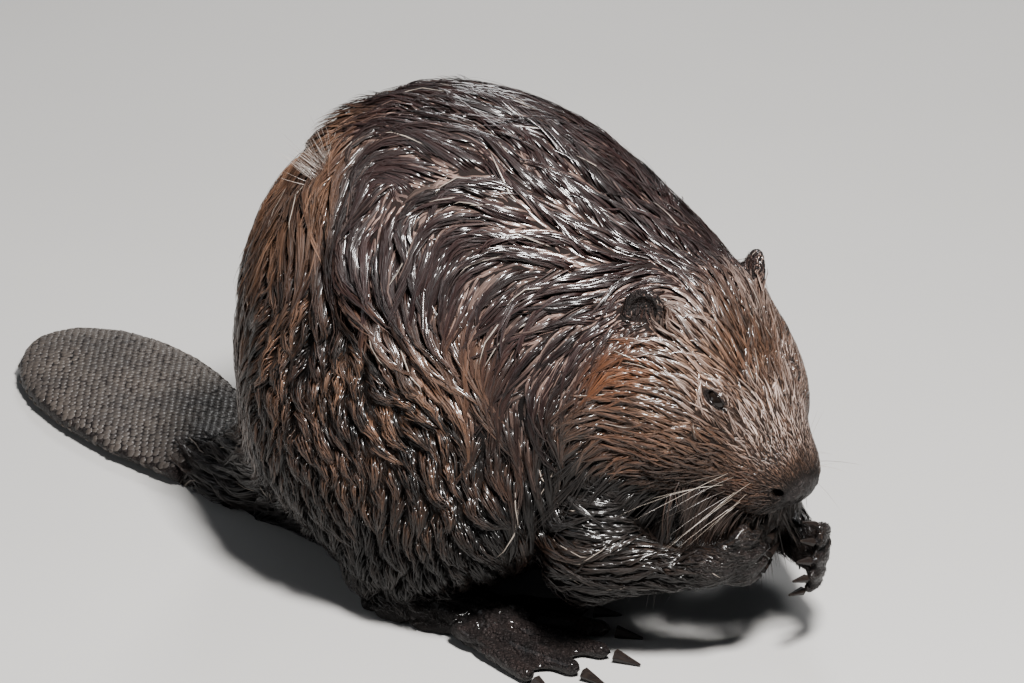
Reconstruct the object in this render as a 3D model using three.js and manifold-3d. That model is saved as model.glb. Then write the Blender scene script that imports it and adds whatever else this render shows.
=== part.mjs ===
// A beaver, Castor canadensis, crouched on its haunches to feed: back arched, head bowed and turned to
// its right, both hands raised to the mouth, tail laid out behind. Millimetres, +Z up, +X the way the
// body faces, +Y its left, the floor at z = 0. The outer surfaces are those of the wet coat's tips.
import * as THREE from "three";
import { mergeVertices } from "three/addons/utils/BufferGeometryUtils.js";
import Module from "manifold-3d";

const wasm = await Module();
wasm.setup();

// ---------------------------------------------------------------- driving dimensions
const BACK_HEIGHT = 306; // floor to the top of the arched back
const BODY_WIDTH = 262; // across the belly and haunches
const BODY_LENGTH = 325; // rump to chest
const HEAD_LENGTH = 154; // back of the skull to the nose
const TAIL_LENGTH = 250; // the bare, scaly paddle
const TAIL_WIDTH = 118;
const TAIL_THICKNESS = 20;
const HIND_FOOT_LENGTH = 152; // heel to toe tips, without claws
const HAND_LENGTH = 56; // wrist to finger tips, without claws
const HIND_CLAW_LENGTH = 17;
const HAND_CLAW_LENGTH = 12;
const WEB_THICKNESS = 4;
const EYE_RADIUS = 6.5;
const EYE_DEPTH = 4.6; // of the eye's centre under the tips of the face's coat
const EAR_HEIGHT = 31;
const EAR_WIDTH = 25;
const GAP = 0.4; // left between neighbouring solids

// Where the skull sits on the neck, and how the head is carried, in degrees.
const SKULL_BASE = new THREE.Vector3(98, -15, 201);
const HEAD_TURN = -24; // to the beaver's right
const HEAD_BOW = 31; // nose down
const HEAD_TILT = -4; // about the line of the muzzle

const TAIL_SWING = 36; // to the beaver's left, in degrees

const vec = (x, y, z) => new THREE.Vector3(x, y, z);
const radians = THREE.MathUtils.degToRad;
const between = (a, b, share) => a.clone().lerp(b, share);
const turned = (tilt, bow, turn) => new THREE.Euler(radians(tilt), radians(bow), radians(turn), "ZYX");

const LEFT = 1;
const RIGHT = -1;
const SIDES = [LEFT, RIGHT];
const pair = (make) => SIDES.map(make);

// ---------------------------------------------------------------- soft masses as distance fields
// A field gives the distance from a point to a mass: negative inside it.

// An ellipsoid, bowed nose down and then turned to the left, in degrees.
function mass(x, y, z, rx, ry, rz, bow = 0, turn = 0) {
  const centre = vec(x, y, z);
  const upright = new THREE.Quaternion().setFromEuler(turned(0, bow, turn)).invert();
  const p = vec(0, 0, 0);
  return (at) => {
    p.copy(at).sub(centre).applyQuaternion(upright);
    const k0 = Math.hypot(p.x / rx, p.y / ry, p.z / rz);
    const k1 = Math.hypot(p.x / rx ** 2, p.y / ry ** 2, p.z / rz ** 2);
    return k1 < 1e-9 ? -Math.min(rx, ry, rz) : (k0 * (k0 - 1)) / k1;
  };
}

// A round limb between two points, with a radius at each.
function limb(from, to, fromRadius, toRadius) {
  const along = to.clone().sub(from);
  const p = vec(0, 0, 0);
  return (at) => {
    p.copy(at).sub(from);
    const share = THREE.MathUtils.clamp(p.dot(along) / along.lengthSq(), 0, 1);
    return p.addScaledVector(along, -share).length() - THREE.MathUtils.lerp(fromRadius, toRadius, share);
  };
}

// Joins masses so that they flow into each other over the distance soft.
function flow(soft, ...masses) {
  return (at) =>
    masses
      .map((field) => field(at))
      .reduce((a, b) => {
        const near = Math.max(soft - Math.abs(a - b), 0) / soft;
        return Math.min(a, b) - (near * near * soft) / 4;
      });
}

// A field written in the frame of a matrix, as one in the part's frame.
function placed(field, frame) {
  const inwards = frame.clone().invert();
  const p = vec(0, 0, 0);
  return (at) => field(p.copy(at).applyMatrix4(inwards));
}

const grown = (field, by) => (at) => field(at) - by;

// How far the edge of a field lies from a point inside it, along a way, at most reach.
function edgeFrom(field, root, way, reach) {
  const STEP = 3;
  const HALVINGS = 12;
  const probe = vec(0, 0, 0);
  const inside = (distance) => field(probe.copy(root).addScaledVector(way, distance)) < 0;
  let near = 0;
  let far = STEP;
  while (far < reach && inside(far)) {
    near = far;
    far += STEP;
  }
  for (let n = 0; n < HALVINGS; n++) {
    const middle = (near + far) / 2;
    if (inside(middle)) near = middle;
    else far = middle;
  }
  return near;
}

// ---------------------------------------------------------------- the head, in its own frame
// +X to the nose, +Y to its left, +Z to the crown, origin at the base of the skull.
const H = HEAD_LENGTH;
const headFrame = new THREE.Matrix4()
  .makeRotationFromEuler(turned(HEAD_TILT, HEAD_BOW, HEAD_TURN))
  .setPosition(SKULL_BASE);
const headPoint = (x, y, z) => vec(x * H, y * H, z * H).applyMatrix4(headFrame);
const headWay = (x, y, z) => vec(x, y, z).transformDirection(headFrame);
const headMass = (x, y, z, rx, ry, rz, bow = 0, turn = 0) =>
  mass(x * H, y * H, z * H, rx * H, ry * H, rz * H, bow, turn);

const headShape = placed(
  flow(
    0.1 * H,
    headMass(0.26, 0, -0.05, 0.32, 0.33, 0.225), // cranium
    headMass(0.55, 0, 0.0, 0.28, 0.26, 0.19, 6), // brow
    ...pair((side) => headMass(0.47, side * 0.255, -0.11, 0.28, 0.18, 0.22, 8, -side * 10)), // cheeks
    headMass(0.74, 0, -0.05, 0.23, 0.2, 0.155, 4), // muzzle
    ...pair((side) => headMass(0.81, side * 0.1, -0.14, 0.15, 0.115, 0.125)), // whisker pads
    headMass(0.9, 0, -0.04, 0.095, 0.13, 0.1), // nose
    headMass(0.66, 0, -0.3, 0.25, 0.14, 0.12, 8), // lower jaw
  ),
  headFrame,
);

// ---------------------------------------------------------------- trunk, legs and tail
const L = BODY_LENGTH;
const W = BODY_WIDTH;
const T = BACK_HEIGHT;
const bodyPoint = (x, y, z) => vec(x * L, y * W, z * T);
const bodyMass = (x, y, z, rx, ry, rz, bow = 0, turn = 0) =>
  mass(x * L, y * W, z * T, rx * L, ry * W, rz * T, bow, turn);

const barrel = flow(
  0.2 * W,
  bodyMass(-0.04, 0, 0.44, 0.44, 0.43, 0.43), // belly and ribs
  bodyMass(-0.13, 0.02, 0.64, 0.35, 0.38, 0.37), // arch of the back
  bodyMass(0.05, 0.0, 0.6, 0.27, 0.3, 0.3), // withers
  bodyMass(-0.3, 0.03, 0.38, 0.22, 0.33, 0.38), // rump
  bodyMass(0.24, -0.03, 0.44, 0.24, 0.29, 0.28), // chest
  ...pair((side) => bodyMass(0.2, side * 0.2 - 0.02, 0.43, 0.17, 0.15, 0.21)), // shoulders
);
const neck = limb(bodyPoint(0.14, 0, 0.5), headPoint(0.2, 0, -0.1), 0.28 * W, 0.215 * W);

const hip = (side) => bodyPoint(-0.2, side * 0.29, 0.36);
const knee = (side) => bodyPoint(0.07, side * 0.38, 0.28);
const heel = (side) => vec(-0.15 * L, side * 0.36 * W, 22);
const haunch = (side) =>
  flow(
    0.12 * W,
    bodyMass(-0.14, side * 0.32, 0.36, 0.27, 0.17, 0.28, 12, side * 6),
    limb(hip(side), knee(side), 0.18 * W, 0.13 * W),
    limb(knee(side), heel(side), 0.12 * W, 0.075 * W),
  );

const tailFrame = new THREE.Matrix4()
  .makeRotationFromEuler(turned(0, 0, 180 - TAIL_SWING))
  .setPosition(-0.6 * L, 0.1 * W, 0.45 * TAIL_THICKNESS);
const tailPoint = (x, y, z) =>
  vec(x * TAIL_LENGTH, y * TAIL_WIDTH, z * TAIL_THICKNESS).applyMatrix4(tailFrame);
const tailMass = (x, z, rx, ry, rz) =>
  mass(x * TAIL_LENGTH, 0, z * TAIL_THICKNESS, rx * TAIL_LENGTH, ry * TAIL_WIDTH, rz * TAIL_THICKNESS);
const tailRoot = bodyPoint(-0.38, 0.02, 0.17);
const tailStem = flow(
  0.1 * W,
  limb(tailRoot, tailPoint(0, 0, 0.6), 0.17 * W, 0.075 * W),
  placed(tailMass(0, 0, 0.2, 0.3, 0.8), tailFrame),
);
const paddle = placed(
  flow(
    0.1 * TAIL_WIDTH,
    tailMass(0.5, 0, 0.5, 0.5, 0.5),
    tailMass(0.66, -0.05, 0.34, 0.5, 0.4),
    tailMass(0.1, 0, 0.2, 0.3, 0.7),
  ),
  tailFrame,
);

const body = flow(0.11 * W, flow(0.2 * W, barrel, neck, tailStem), headShape, ...pair(haunch));

// ---------------------------------------------------------------- making solids
function solidOf(geometry) {
  const bare = new THREE.BufferGeometry().setAttribute("position", geometry.getAttribute("position"));
  bare.setIndex(geometry.index);
  const merged = mergeVertices(bare, 1e-3);
  return new wasm.Manifold(
    new wasm.Mesh({
      numProp: 3,
      vertProperties: merged.attributes.position.array,
      triVerts: new Uint32Array(merged.index.array),
    }),
  );
}

// A capsule about the line from one point to another, its wall drawn out to the edge of a field.
// detail gives its sides, rings and cap rings, and reach the furthest that its wall may go. Round a
// flat mass its corners would crowd at the middle, so flat, the mass's thickness over its width,
// spreads them.
function wrapped(field, from, to, detail, reach, flat = 1) {
  const length = from.distanceTo(to);
  const [sides, rings, capRings] = detail;
  const geometry = new THREE.CapsuleGeometry(1, length, capRings, sides, rings);
  const along = to.clone().sub(from).normalize();
  const up = Math.abs(along.z) > 0.9 ? vec(1, 0, 0) : vec(0, 0, 1);
  const across = along.clone().cross(up).normalize();
  const place = new THREE.Matrix4()
    .makeBasis(across, along, across.clone().cross(along))
    .setPosition(between(from, to, 0.5));
  const corners = geometry.attributes.position;
  const root = vec(0, 0, 0);
  const way = vec(0, 0, 0);
  for (let i = 0; i < corners.count; i++) {
    way.fromBufferAttribute(corners, i);
    root.set(0, THREE.MathUtils.clamp(way.y, -length / 2, length / 2), 0);
    way.sub(root);
    way.z *= flat;
    way.transformDirection(place);
    root.applyMatrix4(place);
    root.addScaledVector(way, edgeFrom(field, root, way, reach));
    corners.setXYZ(i, root.x, root.y, root.z);
  }
  return solidOf(geometry);
}

// Everything beyond a plane through at, on the side that way points to.
function beyond(at, way) {
  const SIDE = 900;
  const slab = new THREE.BoxGeometry(SIDE, SIDE, SIDE);
  slab.translate(0, 0, SIDE / 2);
  slab.applyQuaternion(new THREE.Quaternion().setFromUnitVectors(vec(0, 0, 1), way.clone().normalize()));
  slab.translate(at.x, at.y, at.z);
  return solidOf(slab);
}

// An egg, its axes turned by a matrix's rotation.
function egg(at, rx, ry, rz, frame, sides = 20) {
  const ball = new THREE.SphereGeometry(1, sides, Math.round(sides / 1.5));
  ball.scale(rx, ry, rz);
  ball.applyMatrix4(new THREE.Matrix4().extractRotation(frame));
  ball.translate(at.x, at.y, at.z);
  return solidOf(ball);
}

// Parts a solid with a thin cut through a plane: [the piece behind it, the piece beyond it].
function parted(solid, { at, way }) {
  const half = way.clone().normalize().multiplyScalar(GAP / 2);
  return [
    solid.subtract(beyond(at.clone().sub(half), way)),
    solid.intersect(beyond(at.clone().add(half), way)),
  ];
}

// The largest piece of a solid that a cut may have left in several.
const largest = (solid) => solid.decompose().sort((a, b) => b.volume() - a.volume())[0];

const joined = (solids) => solids.reduce((whole, solid) => whole.add(solid));
const without = (solid, others) => others.reduce((rest, other) => rest.subtract(other), solid);

// A tapered digit or claw between two points.
const digit = (from, to, fromRadius, toRadius, sides = 6) =>
  wrapped(limb(from, to, fromRadius, toRadius), from, to, [sides, 1, 1], fromRadius + toRadius);

const aboveFloor = beyond(vec(0, 0, 0), vec(0, 0, 1));
const group = new THREE.Group();

// Adds a solid to the group as a named mesh, flattened where it rests on the floor.
function add(name, solid, material) {
  const made = solid.intersect(aboveFloor).getMesh();
  const geometry = new THREE.BufferGeometry()
    .setAttribute("position", new THREE.BufferAttribute(new Float32Array(made.vertProperties), 3))
    .setIndex(new THREE.BufferAttribute(new Uint32Array(made.triVerts), 1));
  const mesh = new THREE.Mesh(geometry, material);
  mesh.name = name;
  group.add(mesh);
}

const finish = (color, roughness) => new THREE.MeshStandardMaterial({ color, roughness, metalness: 0 });
const wetFur = finish("#33241b", 0.45);
const faceFur = finish("#4a3122", 0.5);
const bareSkin = finish("#2b1f1e", 0.35);
const scales = finish("#2a2522", 0.5);
const horn = finish("#3a302a", 0.35);
const wetEye = finish("#0c0807", 0.08);

const sideName = (side) => (side === LEFT ? "left" : "right");

// ---------------------------------------------------------------- arms and hands
// Each arm folds at an elbow near the floor, and its hand comes up under the muzzle.
const ARMS = {
  [RIGHT]: {
    shoulder: vec(84, -66, 136),
    elbow: vec(88, -104, 64),
    wrist: vec(150, -99, 67),
    reach: vec(0.78, 0.2, 0.16), // the way that the hand points
    curl: vec(0.2, 0.8, 0.3), // the way that its fingers curl
  },
  [LEFT]: {
    shoulder: vec(92, 58, 130),
    elbow: vec(140, 46, 52),
    wrist: vec(194, -12, 55),
    reach: vec(0.7, -0.7, 0.16),
    curl: vec(-0.5, -0.6, 0.22),
  },
};
const FINGERS = 5;
const FINGER_SPREAD = 26; // degrees from the middle finger to the outer ones
const FINGER_RADIUS = 4.6;

const armField = (side) =>
  flow(
    0.06 * W,
    limb(ARMS[side].shoulder, ARMS[side].elbow, 0.13 * W, 0.092 * W),
    limb(ARMS[side].elbow, ARMS[side].wrist, 0.09 * W, 0.052 * W),
  );

// The upper arm and the forearm as one solid.
function armSolid(side) {
  const { shoulder, elbow, wrist } = ARMS[side];
  const field = armField(side);
  return wrapped(field, shoulder, elbow, [12, 3, 2], 60).add(wrapped(field, elbow, wrist, [12, 3, 2], 50));
}

// The hand's palm and fingers as one solid, and its claws.
function handOf(side) {
  const { wrist, reach, curl } = ARMS[side];
  const forward = reach.clone().normalize();
  const across = forward.clone().cross(curl).normalize();
  const inward = across.clone().cross(forward).normalize();
  const palmEnd = wrist.clone().addScaledVector(forward, 0.48 * HAND_LENGTH);
  const palmFrame = new THREE.Matrix4().makeBasis(forward, inward, across);
  const palmMiddle = between(wrist, palmEnd, 0.56);
  const palm = egg(palmMiddle, 0.36 * HAND_LENGTH, 0.2 * HAND_LENGTH, 0.26 * HAND_LENGTH, palmFrame, 10);
  const pieces = [palm];
  const claws = [];
  for (let k = 0; k < FINGERS; k++) {
    const share = k / (FINGERS - 1) - 0.5; // -0.5 to 0.5 across the hand
    const fan = radians(2 * share * FINGER_SPREAD);
    const out = forward.clone().multiplyScalar(Math.cos(fan)).addScaledVector(across, Math.sin(fan));
    const length = HAND_LENGTH * (0.5 - 0.5 * share * share);
    const knuckle = palmEnd.clone().addScaledVector(across, share * 0.42 * HAND_LENGTH);
    const bend = knuckle.clone().addScaledVector(out, 0.5 * length).addScaledVector(inward, 0.08 * length);
    const tip = bend.clone().addScaledVector(out, 0.36 * length).addScaledVector(inward, 0.4 * length);
    pieces.push(digit(knuckle, bend, 1.15 * FINGER_RADIUS, FINGER_RADIUS));
    pieces.push(digit(bend, tip, FINGER_RADIUS, 0.85 * FINGER_RADIUS));
    const way = out.clone().multiplyScalar(0.5).add(inward).normalize();
    claws.push({ tip, way, length: HAND_CLAW_LENGTH, radius: FINGER_RADIUS });
  }
  return { solid: joined(pieces), claws };
}

// ---------------------------------------------------------------- hind feet
const TOES = 5;
const TOE_RADIUS = 7;
const TOE_FAN = 25; // degrees from the foot's line to the outer toes
const FOOT_TURN = 4; // degrees that the foot turns out
const TOE_REACH = [0.8, 0.93, 1, 0.97, 0.86]; // of the foot's length, inner toe first

// The webbed foot as one solid, and its claws.
function footOf(side) {
  const turn = radians(side * FOOT_TURN);
  const at = (along, aside, height) =>
    vec(
      heel(side).x + along * Math.cos(turn) - aside * Math.sin(turn),
      heel(side).y + along * Math.sin(turn) + aside * Math.cos(turn),
      height,
    );
  const F = HIND_FOOT_LENGTH;
  const SOLE = 5.5; // height of the toes' centres
  const instep = limb(at(0, 0, 15), at(0.42 * F, 0, 11), 17, 13);
  const ball = limb(at(0.1 * F, 0, 5), at(0.5 * F, 0, 4), 15, 20);
  const pieces = [wrapped(flow(14, instep, ball), at(0.04 * F, 0, 9), at(0.46 * F, 0, 8), [12, 3, 2], 40)];
  const claws = [];
  const fan = (k) => radians((side * TOE_FAN * (k - 2)) / 2);
  const toeAt = (k, share) => {
    const start = 0.4 * F;
    const along = share * (TOE_REACH[k] * F - start);
    return [start + along * Math.cos(fan(k)), side * (k - 2) * 0.062 * F + along * Math.sin(fan(k))];
  };
  for (let k = 0; k < TOES; k++) {
    const root = at(...toeAt(k, 0), SOLE + 3);
    const tip = at(...toeAt(k, 1), SOLE);
    pieces.push(digit(root, tip, 1.2 * TOE_RADIUS, 0.86 * TOE_RADIUS));
    const way = tip.clone().sub(root).normalize().setZ(-0.16).normalize();
    claws.push({ tip, way, length: HIND_CLAW_LENGTH, radius: TOE_RADIUS });
  }
  const rim = [toeAt(0, 0), toeAt(0, 0.9)];
  for (let k = 1; k < TOES; k++) {
    const [x, y] = toeAt(k, 0.9);
    const [u, v] = toeAt(k - 1, 0.9);
    rim.push([0.485 * (x + u), 0.5 * (y + v)], [x, y]); // the web dips between two toes
  }
  rim.push(toeAt(TOES - 1, 0));
  const web = new THREE.Shape(rim.map(([x, y]) => new THREE.Vector2(x, y)));
  const sheet = new THREE.ExtrudeGeometry(web, { depth: WEB_THICKNESS, bevelEnabled: false });
  sheet.rotateZ(turn);
  sheet.translate(heel(side).x, heel(side).y, 2);
  pieces.push(solidOf(sheet));
  return { solid: joined(pieces), claws };
}

// Adds a hand's or foot's claws, each starting just clear of the digit that carries it.
function addClaws(name, claws, clearOf) {
  claws.forEach(({ tip, way, length, radius }, k) => {
    const base = tip.clone().addScaledVector(way, radius + GAP);
    const claw = digit(base, base.clone().addScaledVector(way, length), 0.6 * radius, 0.8);
    add(name + "_claw_" + (k + 1), largest(without(claw.intersect(beyond(base, way)), clearOf)), horn);
  });
}

// ---------------------------------------------------------------- the parts, one by one
const neckCut = { at: bodyPoint(0.27, -0.03, 0.6), way: vec(0.9, -0.2, 0.38) };
const headCut = { at: headPoint(0.06, 0, 0), way: headWay(1, 0, 0.05) };
const throatCut = { at: headPoint(0.4, 0, -0.43), way: headWay(0, 0, 1) };
const tailCut = { at: bodyPoint(-0.46, 0.02, 0.16), way: vec(-1, 0.1, -0.35) };
const paddleCut = { at: tailPoint(0.1, 0, 0), way: vec(1, 0, 0).transformDirection(tailFrame) };

const legPocket = (side, grow) =>
  egg(
    bodyPoint(-0.12, side * 0.5, 0.26),
    0.36 * L + grow,
    0.235 * W + grow,
    0.42 * T + grow,
    new THREE.Matrix4().makeRotationFromEuler(turned(0, 10, side * 6)),
  );
const jawPocket = (grow) =>
  egg(headPoint(0.67, 0, -0.35), 0.26 * H + grow, 0.16 * H + grow, 0.15 * H + grow, headFrame, 14);
const nosePocket = (grow) =>
  egg(headPoint(0.99, 0, -0.03), 0.075 * H + grow, 0.1 * H + grow, 0.075 * H + grow, headFrame, 12);

// The body's skin drawn out from within the trunk, the head or a leg, grown by some distance: grown by
// GAP, it cuts its neighbours clear.
const trunkWhole = (grow) =>
  wrapped(grown(body, grow), bodyPoint(-0.2, 0, 0.48), bodyPoint(0.16, 0, 0.5), [28, 7, 8], 240);
const headWhole = (grow) =>
  wrapped(grown(body, grow), headPoint(0.2, 0, -0.05), headPoint(0.74, 0, -0.09), [26, 8, 5], 110);
const legWhole = (side, grow) =>
  wrapped(
    grown(body, grow),
    between(hip(side), knee(side), 0.1),
    between(hip(side), knee(side), 0.8),
    [18, 5, 4],
    110,
  );
// All that lies ahead of the neck's cut and above the throat's: the head and the neck.
const fore = parted(parted(aboveFloor, neckCut)[1], throatCut)[1];
const clearance = neckCut.way.clone().normalize().add(throatCut.way).multiplyScalar(-GAP);
const foreGrown = fore.translate(clearance.x, clearance.y, clearance.z);
const headGrown = headWhole(GAP).intersect(fore);
const trunkGrown = trunkWhole(GAP);

const legs = pair((side) => legPocket(side, GAP));
add("trunk", without(parted(trunkWhole(0), tailCut)[0], [foreGrown, ...legs]), wetFur);

const neckWhole = wrapped(body, bodyPoint(0.16, -0.01, 0.52), headPoint(0.2, 0, -0.1), [26, 5, 5], 150);
add("neck", parted(neckWhole.intersect(fore), headCut)[0], wetFur);

// The place on the head's skin that lies out from a point on its axis, in a way, sunk by some depth.
function onHead(along, way, depth) {
  const root = headPoint(along, 0, -0.03);
  return root.addScaledVector(way, edgeFrom(body, root, way, 90) - depth);
}
const eyeAt = (side) => onHead(0.572, headWay(0, side * 0.81, 0.59), EYE_DEPTH);
const eyeBall = (side, grow) =>
  egg(eyeAt(side), EYE_RADIUS + grow, EYE_RADIUS + grow, EYE_RADIUS + grow, headFrame, 10);

const headPiece = parted(headWhole(0).intersect(fore), headCut)[1];
const sockets = pair((side) => eyeBall(side, GAP));
add("head", without(headPiece, [...sockets, jawPocket(GAP), nosePocket(GAP)]), faceFur);
add("lower_jaw", headPiece.intersect(jawPocket(0)), faceFur);
add("nose", headPiece.intersect(nosePocket(0)), bareSkin);

const stemEnd = tailPoint(0, 0, 0.6);
const stemWhole = wrapped(body, between(tailRoot, stemEnd, 0.2), stemEnd, [16, 4, 3], 90);
add("tail_base", parted(parted(stemWhole, tailCut)[1], paddleCut)[0], wetFur);

const paddleWhole = wrapped(
  paddle,
  tailPoint(0.06, 0, 0),
  tailPoint(0.8, 0, 0),
  [16, 6, 3],
  80,
  TAIL_THICKNESS / TAIL_WIDTH,
);
add("tail", parted(paddleWhole, paddleCut)[1], scales);

// A cupped ear, its hollow facing outwards and forwards.
function earOf(side) {
  const facing = headWay(0.5, side * 0.82, 0.28);
  const upwards = headWay(-0.35, side * 0.15, 0.92);
  const across = upwards.clone().cross(facing).normalize();
  const frame = new THREE.Matrix4().makeBasis(facing, across, facing.clone().cross(across));
  const middle = onHead(0.2, headWay(-0.1, side * 0.78, 0.62), -0.12 * EAR_HEIGHT);
  const mouth = middle.clone().addScaledVector(facing, 5);
  const cup = (sunk, rim, sides) =>
    egg(between(middle, mouth, sunk), 7, EAR_WIDTH / 2 - rim, EAR_HEIGHT / 2 - rim, frame, sides);
  const EAR_RIM = 2.4; // thickness of the ear's edge
  return largest(without(cup(0, 0, 11), [cup(1, EAR_RIM, 10), headGrown]));
}

for (const side of SIDES) {
  const name = sideName(side);
  add(name + "_eye", eyeBall(side, 0), wetEye);
  add(name + "_ear", earOf(side), wetFur);

  const legGrown = legWhole(side, GAP).intersect(legPocket(side, GAP));
  add(name + "_hind_leg", legWhole(side, 0).intersect(legPocket(side, 0)), wetFur);
  const foot = footOf(side);
  add(name + "_hind_foot", largest(without(foot.solid, [legGrown, trunkGrown])), bareSkin);
  addClaws(name + "_hind", foot.claws, []);

  const { elbow, wrist, reach } = ARMS[side];
  const arm = without(armSolid(side), [trunkGrown, headGrown, legGrown]);
  const [upper, lower] = parted(arm, { at: elbow, way: wrist.clone().sub(elbow) });
  const wristCut = { at: wrist, way: reach };
  const hand = handOf(side);
  add(name + "_upper_arm", largest(upper), wetFur);
  add(name + "_forearm", largest(parted(lower, wristCut)[0]), wetFur);
  add(name + "_hand", largest(parted(hand.solid.subtract(headGrown), wristCut)[1]), bareSkin);
  addClaws(name + "_hand", hand.claws, [headGrown]);
}

// The origin is the middle of the whole, on the floor.
const middle = new THREE.Box3().setFromObject(group).getCenter(vec(0, 0, 0));
group.position.set(-middle.x, -middle.y, 0);

export default group;
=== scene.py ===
"""A wet beaver crouched to feed: one skin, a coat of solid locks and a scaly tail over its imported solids."""
import math
from contextlib import contextmanager

import bpy
import numpy as np
from mathutils import Matrix, Vector
from mathutils.bvhtree import BVHTree
from mathutils.kdtree import KDTree


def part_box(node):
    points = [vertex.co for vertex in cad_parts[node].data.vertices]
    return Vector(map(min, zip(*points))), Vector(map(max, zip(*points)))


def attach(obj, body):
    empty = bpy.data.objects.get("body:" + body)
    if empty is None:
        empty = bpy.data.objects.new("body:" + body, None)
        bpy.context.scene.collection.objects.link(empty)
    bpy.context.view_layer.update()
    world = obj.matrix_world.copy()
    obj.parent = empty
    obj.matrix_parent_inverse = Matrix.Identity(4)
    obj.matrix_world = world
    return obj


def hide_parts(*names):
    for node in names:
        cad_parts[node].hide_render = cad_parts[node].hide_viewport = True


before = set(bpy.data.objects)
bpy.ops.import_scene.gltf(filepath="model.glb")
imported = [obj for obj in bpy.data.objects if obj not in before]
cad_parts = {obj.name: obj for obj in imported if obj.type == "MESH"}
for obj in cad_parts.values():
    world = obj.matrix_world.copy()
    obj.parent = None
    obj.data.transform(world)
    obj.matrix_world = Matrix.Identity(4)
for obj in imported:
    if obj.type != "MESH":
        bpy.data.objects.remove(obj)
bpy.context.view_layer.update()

# ------------------------------------------------------------------ places
# Places are worked out in the millimetres of the solids' own drawing, whose zero lies at SHIFT in the part.
MM = 0.001
SHIFT = np.array([91.605, -15.242, 0.0])
SKULL = np.array([98.0, -15.0, 201.0])  # the base of the skull
HEAD = 154.0  # nose to the back of the skull
HEAD_TURN, HEAD_BOW, HEAD_TILT = (
    Matrix.Rotation(math.radians(angle), 3, axis) for axis, angle in (("Z", -24), ("Y", 31), ("X", -4))
)
HEAD_AXES = np.array(HEAD_TURN @ HEAD_BOW @ HEAD_TILT)
TAIL_ROOT = np.array([-195.0, 26.2, 9.0])
TAIL_WAY = math.radians(180 - 36)
TAIL_ALONG = np.array([math.cos(TAIL_WAY), math.sin(TAIL_WAY)])
TAIL_LONG = 250.0
SIDES = {"left": 1, "right": -1}  # and which way each lies along y


def part(points):
    """From the drawing's millimetres to the part's metres."""
    return (np.asarray(points, float) + SHIFT) * MM


def drawn(points):
    """From the part's metres to the drawing's millimetres."""
    return np.asarray(points, float) / MM - SHIFT


def on_head(x, y, z):
    """A place on the head in shares of its length: x to the nose, y to its left, z to the crown."""
    return SKULL + HEAD_AXES @ np.array([x, y, z]) * HEAD


def head_way(x, y, z):
    way = HEAD_AXES @ np.array([x, y, z], float)
    return way / np.linalg.norm(way)


def in_head(points):
    return (points - SKULL) @ HEAD_AXES / HEAD


def node_middle(name):
    low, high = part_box(name)
    return drawn((low + high) / 2)


def unit(vectors):
    return vectors / np.maximum(np.linalg.norm(vectors, axis=-1, keepdims=True), 1e-9)


def far_from(place, points):
    return np.linalg.norm(points - place, axis=-1)


def step(low, high, values):
    """0 below low, 1 above high, and smooth between them."""
    t = np.clip((values - low) / (high - low), 0, 1)
    return t * t * (3 - 2 * t)


def bell(values, width):
    return np.exp(-(values / width) ** 2)


def spot(points, middle, radius):
    """1 at a place, fading smoothly to 0 at a radius from it."""
    return 1 - step(0.35 * radius, radius, far_from(middle, points))


def ripple(points, size, seed):
    """A smooth wandering number from about -1 to 1, its swells about size across."""
    waves = 7
    rng = np.random.default_rng(seed)
    ways = unit(rng.normal(size=(waves, 3))) * (2 * math.pi / size) * rng.uniform(0.6, 1.5, (waves, 1))
    return np.sin(points @ ways.T + rng.uniform(0, 6.3, waves)).sum(1) / math.sqrt(waves)


def kd_tree(places):
    kd = KDTree(len(places))
    for index, place in enumerate(places.tolist()):
        kd.insert(place, index)
    kd.balance()
    return kd


def surface_tree(corners, faces):
    return BVHTree.FromPolygons(corners.tolist(), faces.tolist())


# ------------------------------------------------------------------ making meshes
def only(*pieces):
    """Selects these pieces and no others, the first as the active one."""
    bpy.ops.object.select_all(action="DESELECT")
    for piece in pieces:
        piece.select_set(True)
    bpy.context.view_layer.objects.active = pieces[0]


@contextmanager
def editing(piece, action="SELECT", unit_picked="VERT"):
    """Edit mode on one piece, with all of it or none of it picked."""
    only(piece)
    bpy.ops.object.mode_set(mode="EDIT")
    bpy.ops.mesh.select_mode(type=unit_picked)
    bpy.ops.mesh.select_all(action=action)
    yield
    bpy.ops.object.mode_set(mode="OBJECT")


def modify(piece, kind, **settings):
    only(piece)
    modifier = piece.modifiers.new(kind.title(), kind)
    for name, value in settings.items():
        setattr(modifier, name, value)
    bpy.ops.object.modifier_apply(modifier=modifier.name)


def placed(name, data):
    """Puts an object with this data into the scene."""
    piece = bpy.data.objects.new(name, data)
    bpy.context.scene.collection.objects.link(piece)
    return piece


def flat(values, kind=np.float32):
    return values.astype(kind).ravel()


def mesh_piece(name, corners, faces):
    """A piece from arrays: corners in the drawing's millimetres, faces as triangles."""
    mesh = bpy.data.meshes.new(name)
    mesh.vertices.add(len(corners))
    mesh.vertices.foreach_set("co", flat(part(corners)))
    mesh.loops.add(faces.size)
    mesh.loops.foreach_set("vertex_index", flat(faces, np.int32))
    mesh.polygons.add(len(faces))
    mesh.polygons.foreach_set("loop_start", np.arange(0, faces.size, 3, dtype=np.int32))
    mesh.update(calc_edges=True)
    mesh.shade_smooth()
    return placed(name, mesh)


def mark(piece, name, values):
    """Writes a number or a vector for each corner of a piece."""
    kind, field = ("FLOAT", "value") if values.ndim == 1 else ("FLOAT_VECTOR", "vector")
    piece.data.attributes.new(name, kind, "POINT").data.foreach_set(field, flat(values))


PATCH = 0.003  # the side of a patch of the bake map


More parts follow.
